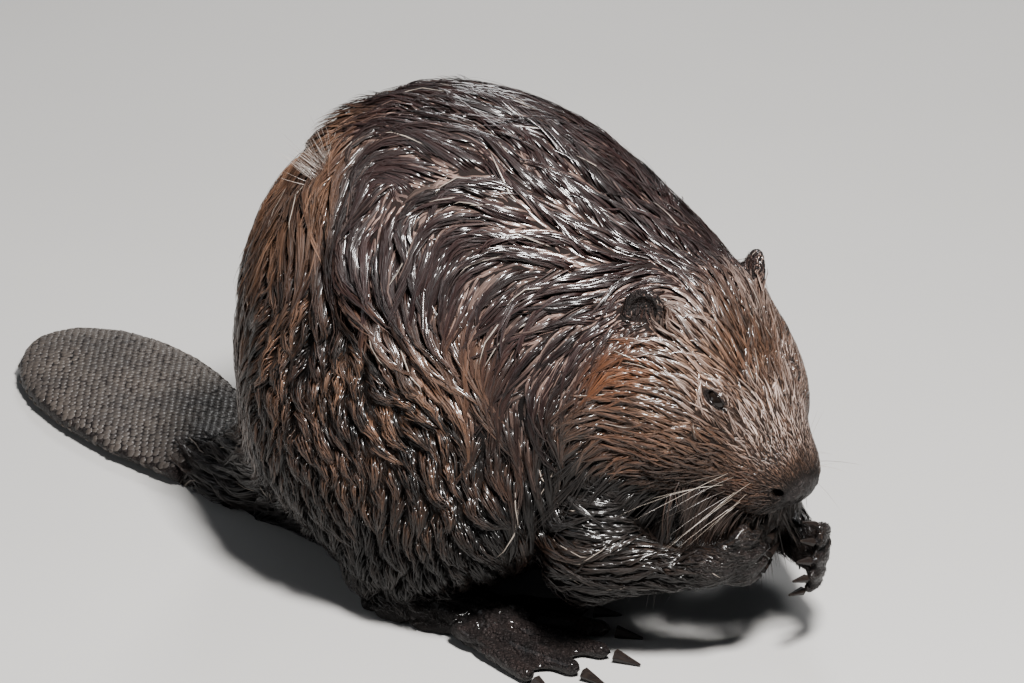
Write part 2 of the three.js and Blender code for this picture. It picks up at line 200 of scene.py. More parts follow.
def bake_map(piece, home, patch):
    """Gives a piece its bake map: for each shape a small patch at its home on the skin's unwrap."""
    where = np.clip(home[:, None, None] + patch * PATCH, 0.0, 1.0)
    piece.data.uv_layers.new(name="OFBake").data.foreach_set("uv", flat(where))


def read(items, field, width, kind=np.int32):
    """One field of every corner, edge or face of a mesh."""
    values = np.empty(len(items) * width, kind)
    items.foreach_get(field, values)
    return values.reshape(-1, width)


def corners_of(piece):
    return drawn(read(piece.data.vertices, "co", 3, np.float32))


def triangles_of(piece, field="vertices"):
    piece.data.calc_loop_triangles()
    return read(piece.data.loop_triangles, field, 3)


def edges_of(piece):
    return read(piece.data.edges, "vertices", 2)


def face_ways(corners, faces):
    a, b, c = (corners[faces[:, k]] for k in range(3))
    return np.cross(b - a, c - a)


def corner_ways(corners, faces):
    """The way out of the surface at each corner."""
    ways = face_ways(corners, faces)
    total = np.zeros_like(corners)
    for k in range(3):
        for axis in range(3):
            total[:, axis] += np.bincount(faces[:, k], ways[:, axis], len(corners))
    return unit(total)


def evened(values, edges, times):
    """Numbers or vectors at the corners, evened out along the edges."""
    table = values.reshape(len(values), -1).astype(float)
    count = np.bincount(edges.ravel(), minlength=len(values)) + 1.0
    for _ in range(times):
        total = table.copy()
        for axis in range(table.shape[1]):
            for own, other in ((0, 1), (1, 0)):
                total[:, axis] += np.bincount(edges[:, own], table[edges[:, other], axis], len(values))
        table = total / count[:, None]
    return table.reshape(values.shape)


# ------------------------------------------------------------------ the skin
PAIRED = ("ear", "hind_leg", "hind_foot", "upper_arm", "forearm", "hand")
FLESH = ["trunk", "neck", "head", "lower_jaw", "nose", "tail_base", "tail"]
FLESH += [f"{side}_{name}" for side in SIDES for name in PAIRED]
KINDS = [name.removeprefix("left_").removeprefix("right_") for name in FLESH]
LONG_COATED = ("trunk", "neck", "hind_leg", "head", "lower_jaw", "tail_base")

# What grows on each kind of flesh, in millimetres: the coat's depth, its locks' length and breadth, the
# skin that each lock has to itself in square millimetres, a clump's breadth and length, and its rise.
COAT = {
    "trunk": (4.6, 35, 1.15, 5.3, 9.5, 50, 1.6),
    "neck": (4.4, 31, 1.1, 4.6, 8.0, 42, 1.9),
    "head": (2.6, 17, 0.78, 2.3, 5.2, 23, 1.0),
    "lower_jaw": (2.2, 13, 0.9, 3.0, 4.5, 16, 0.8),
    "nose": (0.2, 2.5, 0.5, 3.0, 2.0, 4, 0.1),
    "tail_base": (4.0, 24, 1.2, 6.5, 9.0, 30, 1.4),
    "tail": (0.5, 10, 1.0, 12.0, 6.0, 12, 0.3),
    "ear": (0.4, 5, 0.6, 2.0, 2.5, 7, 0.1),
    "hind_leg": (4.6, 28, 1.15, 5.6, 11.0, 36, 2.2),
    "hind_foot": (0.6, 7, 0.8, 4.0, 4.0, 9, 0.2),
    "upper_arm": (3.6, 22, 1.1, 5.6, 7.0, 28, 1.4),
    "forearm": (2.4, 14, 0.95, 4.0, 5.0, 18, 0.8),
    "hand": (0.5, 5, 0.6, 3.0, 3.0, 7, 0.2),
}
DEPTH, LENGTH, BREADTH, ROOM, CLUMP_BREADTH, CLUMP_LENGTH, RISE = range(7)
# On the head each of those begins at this share by the skull's base, and loses this much by the nose.
AT_SKULL = np.array([1.0, 1.15, 1.1, 1.15, 1.1, 1.15, 1.0])
BY_NOSE = np.array([0.75, 0.9, 0.66, 0.68, 0.65, 0.85, 0.8])
# What each loses in the matted knots, beside an ear and beside an eye.
IN_KNOTS = np.array([0.6, 0.6, 0.3, 0.3, 0, 0, 0])
BY_EAR = np.array([0.5, 0.55, 0, 0, 0, 0, 0])
BY_EYE = np.array([0.8, 0.6, 0, 0, 0, 0, 0.8])
KNOT_CLUMP = (15, 20, 5.0)  # breadth, length and rise of a matted clump

WELD, SWELL, VOXEL = 0.02 * MM, 0.6 * MM, 1.7 * MM


def joined_flesh():
    """The solids of flesh swelled until they meet, and remeshed as one closed skin."""
    names = FLESH + ["left_eye", "right_eye"]
    copies = [placed(name + "_flesh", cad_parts[name].data.copy()) for name in names]
    for copy in copies:
        with editing(copy):
            bpy.ops.mesh.remove_doubles(threshold=WELD)
        modify(copy, "DISPLACE", strength=SWELL, mid_level=0.0)
    only(*copies)
    bpy.ops.object.join()
    skin = bpy.context.view_layer.objects.active
    skin.name = skin.data.name = "skin"
    modify(skin, "REMESH", mode="VOXEL", voxel_size=VOXEL)
    return skin


def owners(points):
    """Which solid of flesh each place lies nearest to, as an index into FLESH."""
    corners, faces, owner = [], [], []
    for index, name in enumerate(FLESH):
        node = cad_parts[name]
        base = len(corners)
        corners += [vertex.co.copy() for vertex in node.data.vertices]
        faces += [[base + corner for corner in polygon.vertices] for polygon in node.data.polygons]
        owner += [index] * len(node.data.polygons)
    tree = BVHTree.FromPolygons(corners, faces)
    return np.array([owner[tree.find_nearest(Vector(p))[2]] for p in part(points)])


def group(piece, name, weights):
    """A vertex group, its weights rounded to eighths."""
    made = piece.vertex_groups.new(name=name)
    rounded = np.round(weights * 8).astype(int)
    for level in range(1, 9):
        chosen = np.nonzero(rounded == level)[0]
        if len(chosen):
            made.add(chosen.tolist(), level / 8, "REPLACE")
    return name


def kinds_share(owner, shares):
    """A number for each corner from its kind of flesh."""
    return np.array([shares.get(name, 0.0) for name in KINDS])[owner]


def thinned(piece, name, ratio):
    """Leaves a share of the triangles of the stretch of a piece that a vertex group names."""
    piece.vertex_groups.active = piece.vertex_groups[name]
    with editing(piece, "DESELECT"):
        bpy.ops.object.vertex_group_select()
        bpy.ops.mesh.decimate(ratio=ratio)


def finer(piece, chosen, cuts):
    """Subdivides the faces whose corners are all chosen."""
    with editing(piece, unit_picked="FACE"):
        bpy.ops.mesh.quads_convert_to_tris()
        bpy.ops.mesh.select_all(action="DESELECT")
    piece.data.polygons.foreach_set("select", chosen[triangles_of(piece)].all(1))
    bpy.ops.object.mode_set(mode="EDIT")
    bpy.ops.mesh.subdivide(number_cuts=cuts, smoothness=0.0)
    bpy.ops.mesh.quads_convert_to_tris()
    bpy.ops.object.mode_set(mode="OBJECT")


EYE = 6.5  # the eyeball's radius
SLIT, SLIT_TOP, SLIT_FOOT = 7.0, 3.1, 2.0  # half the opening's length, and how far it opens up and down
NOSTRIL = {side: on_head(0.955, side * 0.108, -0.035) for side in SIDES.values()}


class Eye:
    """An eye's place, the way it looks, and the line and height of its lids."""

    def __init__(self, name):
        side = SIDES[name]
        self.name = name
        self.middle = node_middle(name + "_eye")
        self.out = head_way(0.18, side * 0.86, 0.5)
        along = head_way(1, side * -0.05, -0.1)
        self.along = unit(along - self.out * (along @ self.out))
        self.up = unit(np.cross(self.out, self.along) * -side)

    def split(self, points):
        """How far points lie out along the eye's look, along its slit and up from it."""
        from_middle = points - self.middle
        return from_middle @ self.out, from_middle @ self.along, from_middle @ self.up


eyes = [Eye(name) for name in SIDES]


def arch(along, half, height):
    """The height of a rounded arch at places along it."""
    return height * np.sqrt(1 - np.clip(np.abs(along) / half, 0, 1) ** 2)


def lids(points):
    """Draws the skin round each eye into two lids with a narrow slit between them."""
    for eye in eyes:
        out, along, up = eye.split(points)
        near = (np.hypot(along, up) < 2 * EYE) & (out > -2)
        out, along, up = out[near], along[near], up[near]
        flat_far = np.hypot(along, up)
        ball = np.sqrt(np.maximum((EYE + 0.75) ** 2 - flat_far ** 2, 0))
        lid = np.maximum(ball, out - 0.6)
        height = out + (lid - out) * (1 - step(5.6, 10.5, np.hypot(along, up * 1.15)))
        edge = np.minimum(arch(along, SLIT, SLIT_TOP) - up, up + arch(along, SLIT, SLIT_FOOT))
        depth = step(0.0, 0.35, edge)
        sunk = np.sqrt(np.maximum((EYE - 0.9) ** 2 - flat_far ** 2, 0)) - 0.6
        height = height + (sunk - height) * depth
        crease = bell(up - arch(along, 8.5, 4.6), 0.8) + 0.7 * bell(up + arch(along, 8.0, 4.0), 0.8)
        height -= 0.7 * crease * (1 - depth) * (np.abs(along) < 8)
        points[near] += (height - out)[:, None] * eye.out


def nostrils(points):
    """Sinks each nostril into the side of the nose pad, with a low rim round it."""
    for side, place in NOSTRIL.items():
        inward = -head_way(0.62, side * 0.75, 0.1)
        slant = unit(np.cross(inward, head_way(0.3, 0, 1)))
        from_place = points - place
        across, tall = from_place @ slant, from_place @ unit(np.cross(slant, inward))
        reach = np.hypot(across / 3.9, tall / 3.1)
        near = (reach < 2.4) & (np.abs(from_place @ inward) < 9)
        hole = (1 - step(0.72, 1.08, reach)) * near
        rim = bell(reach - 1.35, 0.28) * near
        points += (hole * 6.5 - rim * 0.55)[:, None] * inward


def mouth(points, ways):
    """A groove from under the nose to the corners of the mouth, and one down the middle of the lip."""
    x, y, z = in_head(points).T
    line = -0.235 - 0.05 * step(0.75, 0.98, x)
    lip = bell(z - line, 0.011) * step(0.52, 0.6, x)
    middle = bell(y, 0.008) * step(-0.24, -0.19, z) * (1 - step(-0.1, -0.05, z)) * step(0.9, 0.94, x)
    points -= (2.2 * lip + 1.2 * middle)[:, None] * ways


skin = joined_flesh()
points = corners_of(skin)
owner = owners(points)
# How far each kind of flesh is smoothed into its neighbours.
SOFTEN = {"trunk": 1, "neck": 1, "hind_leg": 1, "tail_base": 0.9, "head": 0.45, "lower_jaw": 0.4,
          "tail": 0.35, "upper_arm": 0.5, "forearm": 0.35, "nose": 0.15, "ear": 0.1, "hand": 0.3,
          "hind_foot": 0.25}
soften = evened(kinds_share(owner, SOFTEN), edges_of(skin), 12)
modify(skin, "SMOOTH", factor=0.7, iterations=45, vertex_group=group(skin, "soften", soften))
# The stretches of skin that keep only a share of their triangles, as the coat hides them.
THINNED = {"body": (("trunk", "neck", "hind_leg", "tail_base", "upper_arm"), 0.2),
           "tail": (("tail",), 0.3), "forearms": (("forearm",), 0.5), "feet": (("hind_foot",), 0.6),
           "face": (("head", "lower_jaw"), 0.85)}
for name, (kinds, _) in THINNED.items():
    group(skin, name, kinds_share(owner, dict.fromkeys(kinds, 1.0)))
for name, (_, ratio) in THINNED.items():
    thinned(skin, name, ratio)
skin.vertex_groups.clear()

points = corners_of(skin)
finest = np.zeros(len(points), bool)
for place, reach in [(eye.middle, 13) for eye in eyes] + [(place, 9) for place in NOSTRIL.values()]:
    finest |= far_from(place, points) < reach
finer(skin, finest, 2)
faces, edges, points = triangles_of(skin), edges_of(skin), corners_of(skin)
ways = corner_ways(points, faces)
owner = owners(points)
kind = np.array(KINDS)[owner]
head = in_head(points)
is_head = np.isin(kind, ("head", "lower_jaw", "nose"))


def of(name):
    """The corners of the skin that lie on one solid of flesh."""
    return owner == FLESH.index(name)


# The edge of the long hair that hangs from the rump over the haunch to a wet point, down the right side.
SWAG = np.array([(-109, -48, 263), (-94, -76, 242), (-71, -104, 206), (-37, -119, 178), (-4, -124, 163),
                 (22, -126, 144)], float)


def to_swag(points):
    """How far points lie from the edge of the long hair, less than 0 below it, and how far down it."""
    best, below, down = np.full(len(points), 1e3), np.zeros(len(points)), np.zeros(len(points))
    for mirror in (1, -1):
        edge = SWAG * [1, mirror, 1]
        for k, start in enumerate(edge[:-1]):
            run = edge[k + 1] - start
            share = np.clip((points - start) @ run / (run @ run), 0, 1)
            gap = points - start - share[:, None] * run
            far = np.linalg.norm(gap, axis=1)
            closer = far < best
            best = np.where(closer, far, best)
            below = np.where(closer, gap[:, 0] * run[2] - gap[:, 2] * run[0], below)
            down = np.where(closer, (k + share) / (len(edge) - 1), down)
    return best * np.sign(-below), down


def lumps(points):
    """Where the wet underfur of the haunch and flank stands in soft knots."""
    x, y, z = points.T
    over_swag = 1 - step(-4, 6, to_swag(points)[0]) * step(130, 150, z)
    low = (1 - step(168, 196, z + 0.3 * x)) * over_swag
    return low * step(55, 80, np.abs(y)) * step(-175, -125, x) * (1 - step(25, 60, x))


coat = np.array([COAT[name] for name in KINDS])[owner]
toward_nose = step(0.3, 0.92, head[:, 0]) * is_head
coat = evened(coat * (AT_SKULL - BY_NOSE * toward_nose[:, None]), edges, 16)
knotted = lumps(points)[:, None]
coat *= 1 - IN_KNOTS * knotted
coat[:, CLUMP_BREADTH:] += (KNOT_CLUMP - coat[:, CLUMP_BREADTH:]) * knotted
shorter = [(node_middle(name + "_ear"), 12, 24, BY_EAR) for name in SIDES]
shorter += [(eye.middle, 7, 17, BY_EYE) for eye in eyes]
for middle, inner, outer, loss in shorter:
    coat *= 1 - loss * (1 - step(inner, outer, far_from(middle, points)))[:, None]

KNOT_SIZES = ((27.0, 0.72), (13.0, 0.28))  # how far apart large and small knots lie, and their share
KNOTTED_BOX = ((-200, 80), (-150, 150), (-10, 220))


def knots(points):
    """Round lumps with sharp creases between them, fuller below, from 0 in a crease to about 1.2."""
    total = np.zeros(len(points))
    here = np.nonzero(lumps(points) > 0)[0]
    warped = points[here] + 4 * np.stack([ripple(points[here], 40, seed) for seed in (14, 15, 16)], 1)
    for size, share in KNOT_SIZES:
        rng = np.random.default_rng(int(size))
        rows = [np.arange(low, high, size) for low, high in KNOTTED_BOX]
        grid = np.stack(np.meshgrid(*rows, indexing="ij"), -1).reshape(-1, 3)
        kd = kd_tree(grid + rng.uniform(-0.42, 0.42, grid.shape) * size)
        hits = [kd.find_n(place, 2) for place in warped.tolist()]
        near = np.array([(hit[1][2] - hit[0][2], hit[0][0].z) for hit in hits]).reshape(-1, 2)
        border = np.clip(near[:, 0] / size * 1.5, 0, 1)
        fuller = 0.75 + 0.5 * np.clip(0.5 + (near[:, 1] - warped[:, 2]) / size, 0, 1)
        total[here] += share * np.sqrt(border) * fuller
    return total


def swag(points):
    """The long hair's edge stands proud and drops sharply to the haunch."""
    away, down = to_swag(points)
    ridge = np.where(away > 0, bell(away, 13), bell(away, 1.8))
    under = bell(away + 5.5, 3.5) * (away < 0)
    return (4.4 * ridge - 3.0 * under) * step(0.05, 0.3, down)


def folds(points):
    """How far the skin stands up in knots and folds, in millimetres."""
    rolls = ripple(points * [1.0, 0.7, 0.35], 30, 13)
    throat = spot(points, [95, -98, 150], 52) + spot(points, [95, 70, 150], 52)
    return 7.5 * (knots(points) - 0.75) * lumps(points) + 2.4 * rolls * throat + swag(points)


# How much of the full coat grows at each corner: less on the ears, the hands, the heels and the nose pad.
fur = np.isin(kind, LONG_COATED + ("upper_arm", "forearm")).astype(float)
down_tail = (points[:, :2] - TAIL_ROOT[:2]) @ TAIL_ALONG
fur[of("tail")] = (1 - step(10, 26, down_tail))[of("tail")]
for name, side in SIDES.items():
    ear, hand = of(name + "_ear"), of(name + "_hand")
    fur[ear] = np.where((ways @ head_way(0.5, side * 0.82, 0.28))[ear] > 0.45, 0.35, 1.0)
    elbow, wrist = node_middle(name + "_forearm"), node_middle(name + "_hand")
    down_hand = (points[hand] - elbow) @ unit(wrist - elbow)
    down_hand = (down_hand - down_hand.min()) / np.ptp(down_hand)
    fur[hand] = np.maximum(0.35 + 0.45 * step(-0.1, 0.2, ways[hand, 2]), 1 - step(0.25, 0.6, down_hand))
heel = (kind == "hind_foot") & (points[:, 0] < 15)
fur[heel] = (0.7 * (1 - step(-12, 15, points[:, 0])) * (ways[:, 2] > 0))[heel]
fur = evened(fur, edges, 4)
pad = np.linalg.norm((head - [0.995, 0, -0.06]) / [0.072, 0.122, 0.088], axis=1)
nose_pad = 1 - step(0.75, 1.15, pad + 0.12 * ripple(head * HEAD, 9, 45))
fur *= 1 - 0.6 * nose_pad
for place in NOSTRIL.values():
    fur *= step(4, 5, far_from(place, points))
for eye in eyes:
    out, along, up = eye.split(points)
    fur[(np.abs(up) < arch(along, 8.4, 3.9)) & (np.abs(out) < 9)] = 0
fur[fur < 0.02] = 0

points = points + ways * (folds(points) - coat[:, DEPTH] + 0.3 * ripple(points, 4.5, 46) * nose_pad)[:, None]
lids(points)
nostrils(points)
mouth(points, ways)
points[:, 2] = np.maximum(points[:, 2], 0.0)
skin.data.vertices.foreach_set("co", flat(part(points)))
skin.data.update()
ways = corner_ways(points, faces)

# ------------------------------------------------------------------ the lie of the coat
# Strokes of the comb down the right side of the body, from the head back: a place and the way the hair lies.
COMB = np.array([
    (85, 14, 261, -83, 23, 51), (64, -15, 276, -78, 45, 43), (40, -21, 287, -85, 40, 34),
    (11, -14, 299, -93, 33, 19), (-19, -20, 304, -99, 17, 0), (-34, -47, 292, -96, 29, 1),
    (-85, -22, 294, -79, -26, -56), (-109, -28, 279, -63, -29, -73), (-119, -52, 254, -10, -61, -79),
    (81, -44, 254, -79, 21, 58), (59, -53, 261, -90, -6, 42), (32, -66, 265, -95, 1, 32),
    (-4, -74, 268, -99, 9, 12), (-41, -78, 264, -98, 12, -12), (-77, -71, 262, -63, -27, -73),
    (-102, -75, 240, -5, -41, -91), (-132, -69, 212, -4, -32, -95), (-144, -74, 165, -15, 2, -99),
    (-77, -88, 236, 20, -48, -83), (-50, -89, 247, 46, -42, -72), (-23, -91, 246, 44, -35, -77),
    (-30, -105, 218, 60, -24, -72), (-7, -113, 192, 55, -17, -82), (-57, -104, 213, 50, -35, -76),
    (-76, -106, 197, 38, -42, -82), (-106, -99, 182, 18, -43, -88), (-91, -117, 152, 50, -39, -77),
    (-36, -122, 171, 56, -20, -80), (-54, -129, 144, 50, -18, -80), (-8, -129, 139, 50, -18, -81),
    (25, -129, 125, 40, -25, -86), (25, -82, 250, -97, -25, -6), (19, -98, 223, -77, -32, -55),
    (59, -70, 245, -68, -59, -43), (81, -59, 244, -84, -53, -10), (97, -68, 231, -81, -52, -27),
    (90, -81, 222, -63, -52, -58), (74, -90, 216, -51, -43, -74), (94, -92, 207, -45, -40, -80),
    (107, -92, 203, -50, -40, -75), (120, -92, 199, -60, -36, -62), (123, -100, 183, -57, -25, -78),
    (113, -108, 158, -34, 4, -94), (75, -109, 172, -18, -15, -97), (51, -113, 169, -9, -20, -98),
    (36, -108, 191, -61, -31, -73), (26, -117, 166, 5, -25, -96), (65, -116, 126, 0, -1, -100),
    (41, -120, 144, 1, -29, -96), (100, -107, 129, -17, -17, -97), (107, -27, 248, -90, -16, 41),
    (119, -25, 242, -87, 10, 47), (97, -35, 249, -83, 29, 47), (93, -25, 255, -50, 80, 25),
    (-60, -110, 110, 40, -10, -90), (-120, -80, 110, -20, 0, -97), (0, -100, 60, 30, 10, -90),
    (-160, -30, 160, -30, 0, -95), (-150, -40, 90, -60, 0, -80), (120, -30, 120, -50, 0, -85),
], float)
# The same on the right of the face, in shares of the head's length.
FACE_COMB = np.array([
    (0.95, -0.02, 0.05, -90, 0, 45), (0.88, 0, 0.09, -99, 0, 20), (0.75, -0.04, 0.13, -98, -8, 12),
    (0.6, -0.05, 0.18, -99, -6, 10), (0.45, -0.06, 0.22, -99, -5, 0), (0.3, -0.08, 0.24, -98, -12, -5),
    (0.15, -0.1, 0.22, -96, -10, -8), (0.9, -0.12, 0.02, -90, -42, 10), (0.8, -0.2, 0.0, -95, -28, 0),
    (0.7, -0.24, 0.05, -98, -18, 0), (0.58, -0.28, 0.1, -99, -12, -4), (0.45, -0.3, 0.15, -97, -18, -6),
    (0.3, -0.3, 0.16, -92, -25, -22), (0.2, -0.38, 0.12, -55, -48, -60), (0.88, -0.17, -0.1, -85, -42, -22),
    (0.78, -0.24, -0.14, -90, -28, -20), (0.66, -0.36, -0.1, -94, -16, -18),
    (0.55, -0.42, -0.08, -92, -10, -30),
    (0.42, -0.44, 0.0, -80, -20, -45), (0.4, -0.46, -0.15, -60, -5, -75), (0.28, -0.45, -0.05, -35, -20, -85),
    (0.3, -0.42, -0.28, -25, 5, -90), (0.85, -0.15, -0.22, -45, -30, -80),
    (0.93, -0.08, -0.16, -20, -15, -95),
    (0.75, -0.22, -0.26, -65, -20, -70), (0.6, -0.3, -0.28, -70, -5, -60), (0.75, 0, -0.42, -70, 0, -60),
    (0.55, 0, -0.42, -90, 0, -30), (0.5, -0.15, -0.4, -85, -10, -40),
], float)
HOME_WAY = {
    "trunk": (-0.75, 0, -0.6), "neck": (-0.6, 0, -0.7), "tail_base": (-0.81, 0.59, -0.25),
    "tail": (-0.81, 0.59, -0.1), "hind_leg": (0.2, 0, -0.95), "hind_foot": (1, 0, -0.2),
}


def combed(places, strokes, reach):
    """The way that the nearest strokes of the comb, or their mirror images, give to each place."""
    strokes = np.vstack([strokes, strokes * [1, -1, 1, 1, -1, 1]])
    total = np.zeros_like(places)
    for start, way in zip(strokes[:, :3], unit(strokes[:, 3:])):
        weight = np.exp(-((places - start) ** 2).sum(1) / reach ** 2)
        total += weight[:, None] * way
    return total


def lie_of_coat():
    """The way the coat lies at each corner of the skin, along the skin."""
    home = np.array([HOME_WAY.get(name, (-0.6, 0, -0.7)) for name in KINDS])[owner].astype(float)
    for name, side in SIDES.items():
        shoulder, elbow, wrist = (node_middle(name + joint) for joint in ("_upper_arm", "_forearm", "_hand"))
        home[of(name + "_upper_arm")] = unit(elbow - shoulder)
        home[of(name + "_forearm") | of(name + "_hand")] = unit(wrist - elbow)
        home[of(name + "_ear")] = head_way(-0.5, side * 0.2, 0.85)
    along_swag = np.hstack([(SWAG[1:] + SWAG[:-1]) / 2, np.diff(SWAG, axis=0)])
    lie = 0.1 * home
    long_coat = np.isin(kind, LONG_COATED)
    lie[long_coat] += combed(points[long_coat], np.vstack([COMB, along_swag, along_swag]), 34)
    head = in_head(points)
    on_face = combed(head, FACE_COMB, 0.17) @ HEAD_AXES.T
    face_share = (step(0.1, 0.3, head[:, 0]) * is_head)[:, None]
    lie = lie * (1 - face_share) + (on_face + 0.02 * home) * face_share
    lie = evened(unit(lie), edges, 6)
    swirl = 0.22 * ripple(points, 70, 21) + 0.2 * ripple(points, 24, 22)
    lie = unit(lie - ways * (lie * ways).sum(1)[:, None])
    return unit(lie + np.cross(ways, lie) * (swirl * (1 - 0.5 * is_head))[:, None])


lie = lie_of_coat()
tree = surface_tree(points, faces)


def touched(places):
    """The nearest places on the skin, and the skin's way out and the lie of its coat there."""
    found = [tree.find_nearest(place) for place in places.reshape(-1, 3).tolist()]
    corners = faces[np.array([hit[2] for hit in found])]
    there = np.array([hit[0] for hit in found]), unit(ways[corners].sum(1)), unit(lie[corners].sum(1))
    return [values.reshape(places.shape) for values in there]


def scattered(share, rng):
    """Sows places over the skin, share of them to the square millimetre.

    Gives the face that each place is on, and a function that reads the skin's values there.
    """
    area = np.linalg.norm(face_ways(points, faces), axis=1) / 2 * share[faces].mean(1)
    total = np.cumsum(area)
    count = int(total[-1])
    drawn_at = (np.arange(count) + 0.5 + (rng.random(count) - 0.5)) / count * total[-1]
    face = np.minimum(np.searchsorted(total, drawn_at), len(faces) - 1)
    u, v = rng.random(count), rng.random(count)
    flip = u + v > 1
    u[flip], v[flip] = 1 - u[flip], 1 - v[flip]
    weights = np.stack([1 - u - v, u, v], 1)

    def there(values):
        picked = values[faces[face]]
        return (picked * weights.reshape(weights.shape + (1,) * (picked.ndim - 2))).sum(1)

    return face, there


# ------------------------------------------------------------------ clumps
rng = np.random.default_rng(5)
THIN = 1.0
hidden = 1 - 0.45 * step(0.3, 0.8, -ways[:, 2])  # the belly needs fewer locks than the back
_, at_clump = scattered(step(0.1, 0.3, fur) / (0.62 * coat[:, CLUMP_BREADTH] * coat[:, CLUMP_LENGTH]), rng)
clump_at, clump_style = at_clump(points), at_clump(coat)
root_face, at_root = scattered(fur * hidden / (coat[:, ROOM] * THIN), rng)
roots, style = at_root(points), at_root(coat)
root_lie = unit(at_root(lie))
RIVALS = 18  # how many clumps nearby each lock chooses from


def nearest_clumps(seeds):
    """For each lock the two nearest clumps, as the hair lies, and how far off they are across it."""
    kd = kd_tree(seeds)
    near = np.array([[hit[1] for hit in kd.find_n(root, RIVALS)] for root in roots.tolist()])
    gap = roots[:, None] - seeds[near]
    along = (gap * root_lie[:, None]).sum(2)
    across = np.linalg.norm(gap - along[..., None] * root_lie[:, None], axis=2)
    stretch = (style[:, CLUMP_LENGTH] / style[:, CLUMP_BREADTH])[:, None]
    far = np.hypot(along / stretch, across)
    order = np.argsort(far, axis=1)[:, :2]
    return np.take_along_axis(near, order, 1), np.take_along_axis(far, order, 1)


pick, far = nearest_clumps(clump_at)
for _ in range(2):  # each clump moves to the middle of its own locks
    count = np.bincount(pick[:, 0], minlength=len(clump_at))[:, None]
    middle = np.stack([np.bincount(pick[:, 0], roots[:, axis], len(clump_at)) for axis in range(3)], 1)
    clump_at = touched(np.where(count > 0, middle / np.maximum(count, 1), clump_at))[0]
    pick, far = nearest_clumps(clump_at)

# Each clump's own line, along the skin from behind its middle to beyond its tip.
BACK_STEPS, FORE_STEPS, STRIDE = 6, 12, 0.1
stride = STRIDE * clump_style[:, CLUMP_LENGTH][:, None]
bend = rng.normal(0, 0.05, len(clump_at))[:, None]
line = np.empty((3, len(clump_at), BACK_STEPS + FORE_STEPS + 1, 3))
line[:, :, BACK_STEPS] = touched(clump_at)
for sign, steps in ((-1, BACK_STEPS), (1, FORE_STEPS)):
    at, way, lies = line[:, :, BACK_STEPS]
    for k in range(1, steps + 1):
        at, way, lies = touched(at + sign * stride * unit(lies + np.cross(way, lies) * bend * k))
        line[:, :, BACK_STEPS + sign * k] = at, way, lies
line_at, line_way, line_lie = line
line_side = unit(np.cross(line_lie, line_way))


def on_line(values, clump, share):
    """A clump line's values at a share of its steps, drawn straight on beyond its ends."""
    whole = np.clip(np.floor(share).astype(int), 0, values.shape[1] - 2)
    rest = (share - whole)[..., None]
    return values[clump, whole] * (1 - rest) + values[clump, whole + 1] * rest


# ------------------------------------------------------------------ locks
RINGS = np.array([0.0, 0.3, 0.62, 0.86, 1.0])  # where along a lock its rings stand
PROFILE = np.array([-0.25, 0.75, 1.0, 0.95, 0.7])  # how high it lies there in the coat
DOME = np.array([0.2, 0.8, 1.0, 1.0, 0.8])  # and how far it climbs its clump
TAPER = np.array([0.8, 1.0, 0.85, 0.55])
clump = pick[:, 0]
own_stride = stride[clump, 0]
nearest_step = np.linalg.norm(roots[:, None] - line_at[clump], axis=2).argmin(1)
from_step = ((roots - line_at[clump, nearest_step]) * line_lie[clump, nearest_step]).sum(1)
root_step = np.clip(nearest_step + from_step / own_stride, 0, BACK_STEPS + FORE_STEPS)
aside = ((roots - on_line(line_at, clump, root_step)) * on_line(line_side, clump, root_step)).sum(1)
half = 0.5 * style[:, CLUMP_BREADTH]
border = (far[:, 1] - far[:, 0]) / style[:, CLUMP_BREADTH]  # 0 where two clumps meet
clump_luck, clump_hue = rng.random(len(clump_at)), rng.random(len(clump_at))
luck = rng.random((len(roots), 6))
open_share = 0.5 + 0.5 * ripple(roots, 60, 31)
one_side = np.where(aside > 0, 1.25, 0.55)
parted = 1 - step(0.06, 0.17, border / np.clip(one_side * (0.45 + 0.75 * open_share), 0.2, 1.5))
in_knot = lumps(roots) > 0.4
stray = (luck[:, 0] < 0.035) & (parted < 0.5) & ~in_knot
under = (luck[:, 0] > 0.84) | (parted > 0.5)  # short underfur, which fills the partings
parted = parted * ~in_knot

length = style[:, LENGTH] * (0.7 + 0.6 * luck[:, 1]) * np.where(under, 0.5, 1.0)
gather = np.where(stray | under, 0.1, np.where(in_knot, 0.6, 0.8))


def spread(steps):
    """How wide a clump stands at a step along its line, as a share of its full breadth."""
    return 1 - gather[:, None] * step(0.5 * BACK_STEPS, BACK_STEPS + 7.5, steps)


steps = root_step[:, None] + RINGS * (length / own_stride)[:, None]
narrowed = spread(steps) / np.maximum(spread(root_step[:, None]), 0.15)
wave = 0.35 * style[:, BREADTH, None] * np.sin(6.3 * (luck[:, 2, None] + 1.3 * RINGS)) * RINGS
offset = aside[:, None] * np.minimum(narrowed, 1.0) + wave
offset += (stray * (luck[:, 3] - 0.5) * 0.7 * length)[:, None] * RINGS ** 1.5
across_line = on_line(line_side, clump[:, None], steps)
path = on_line(line_at, clump[:, None], steps) + across_line * offset[..., None]
path[:, 0] = roots
path, path_way, _ = touched(path)

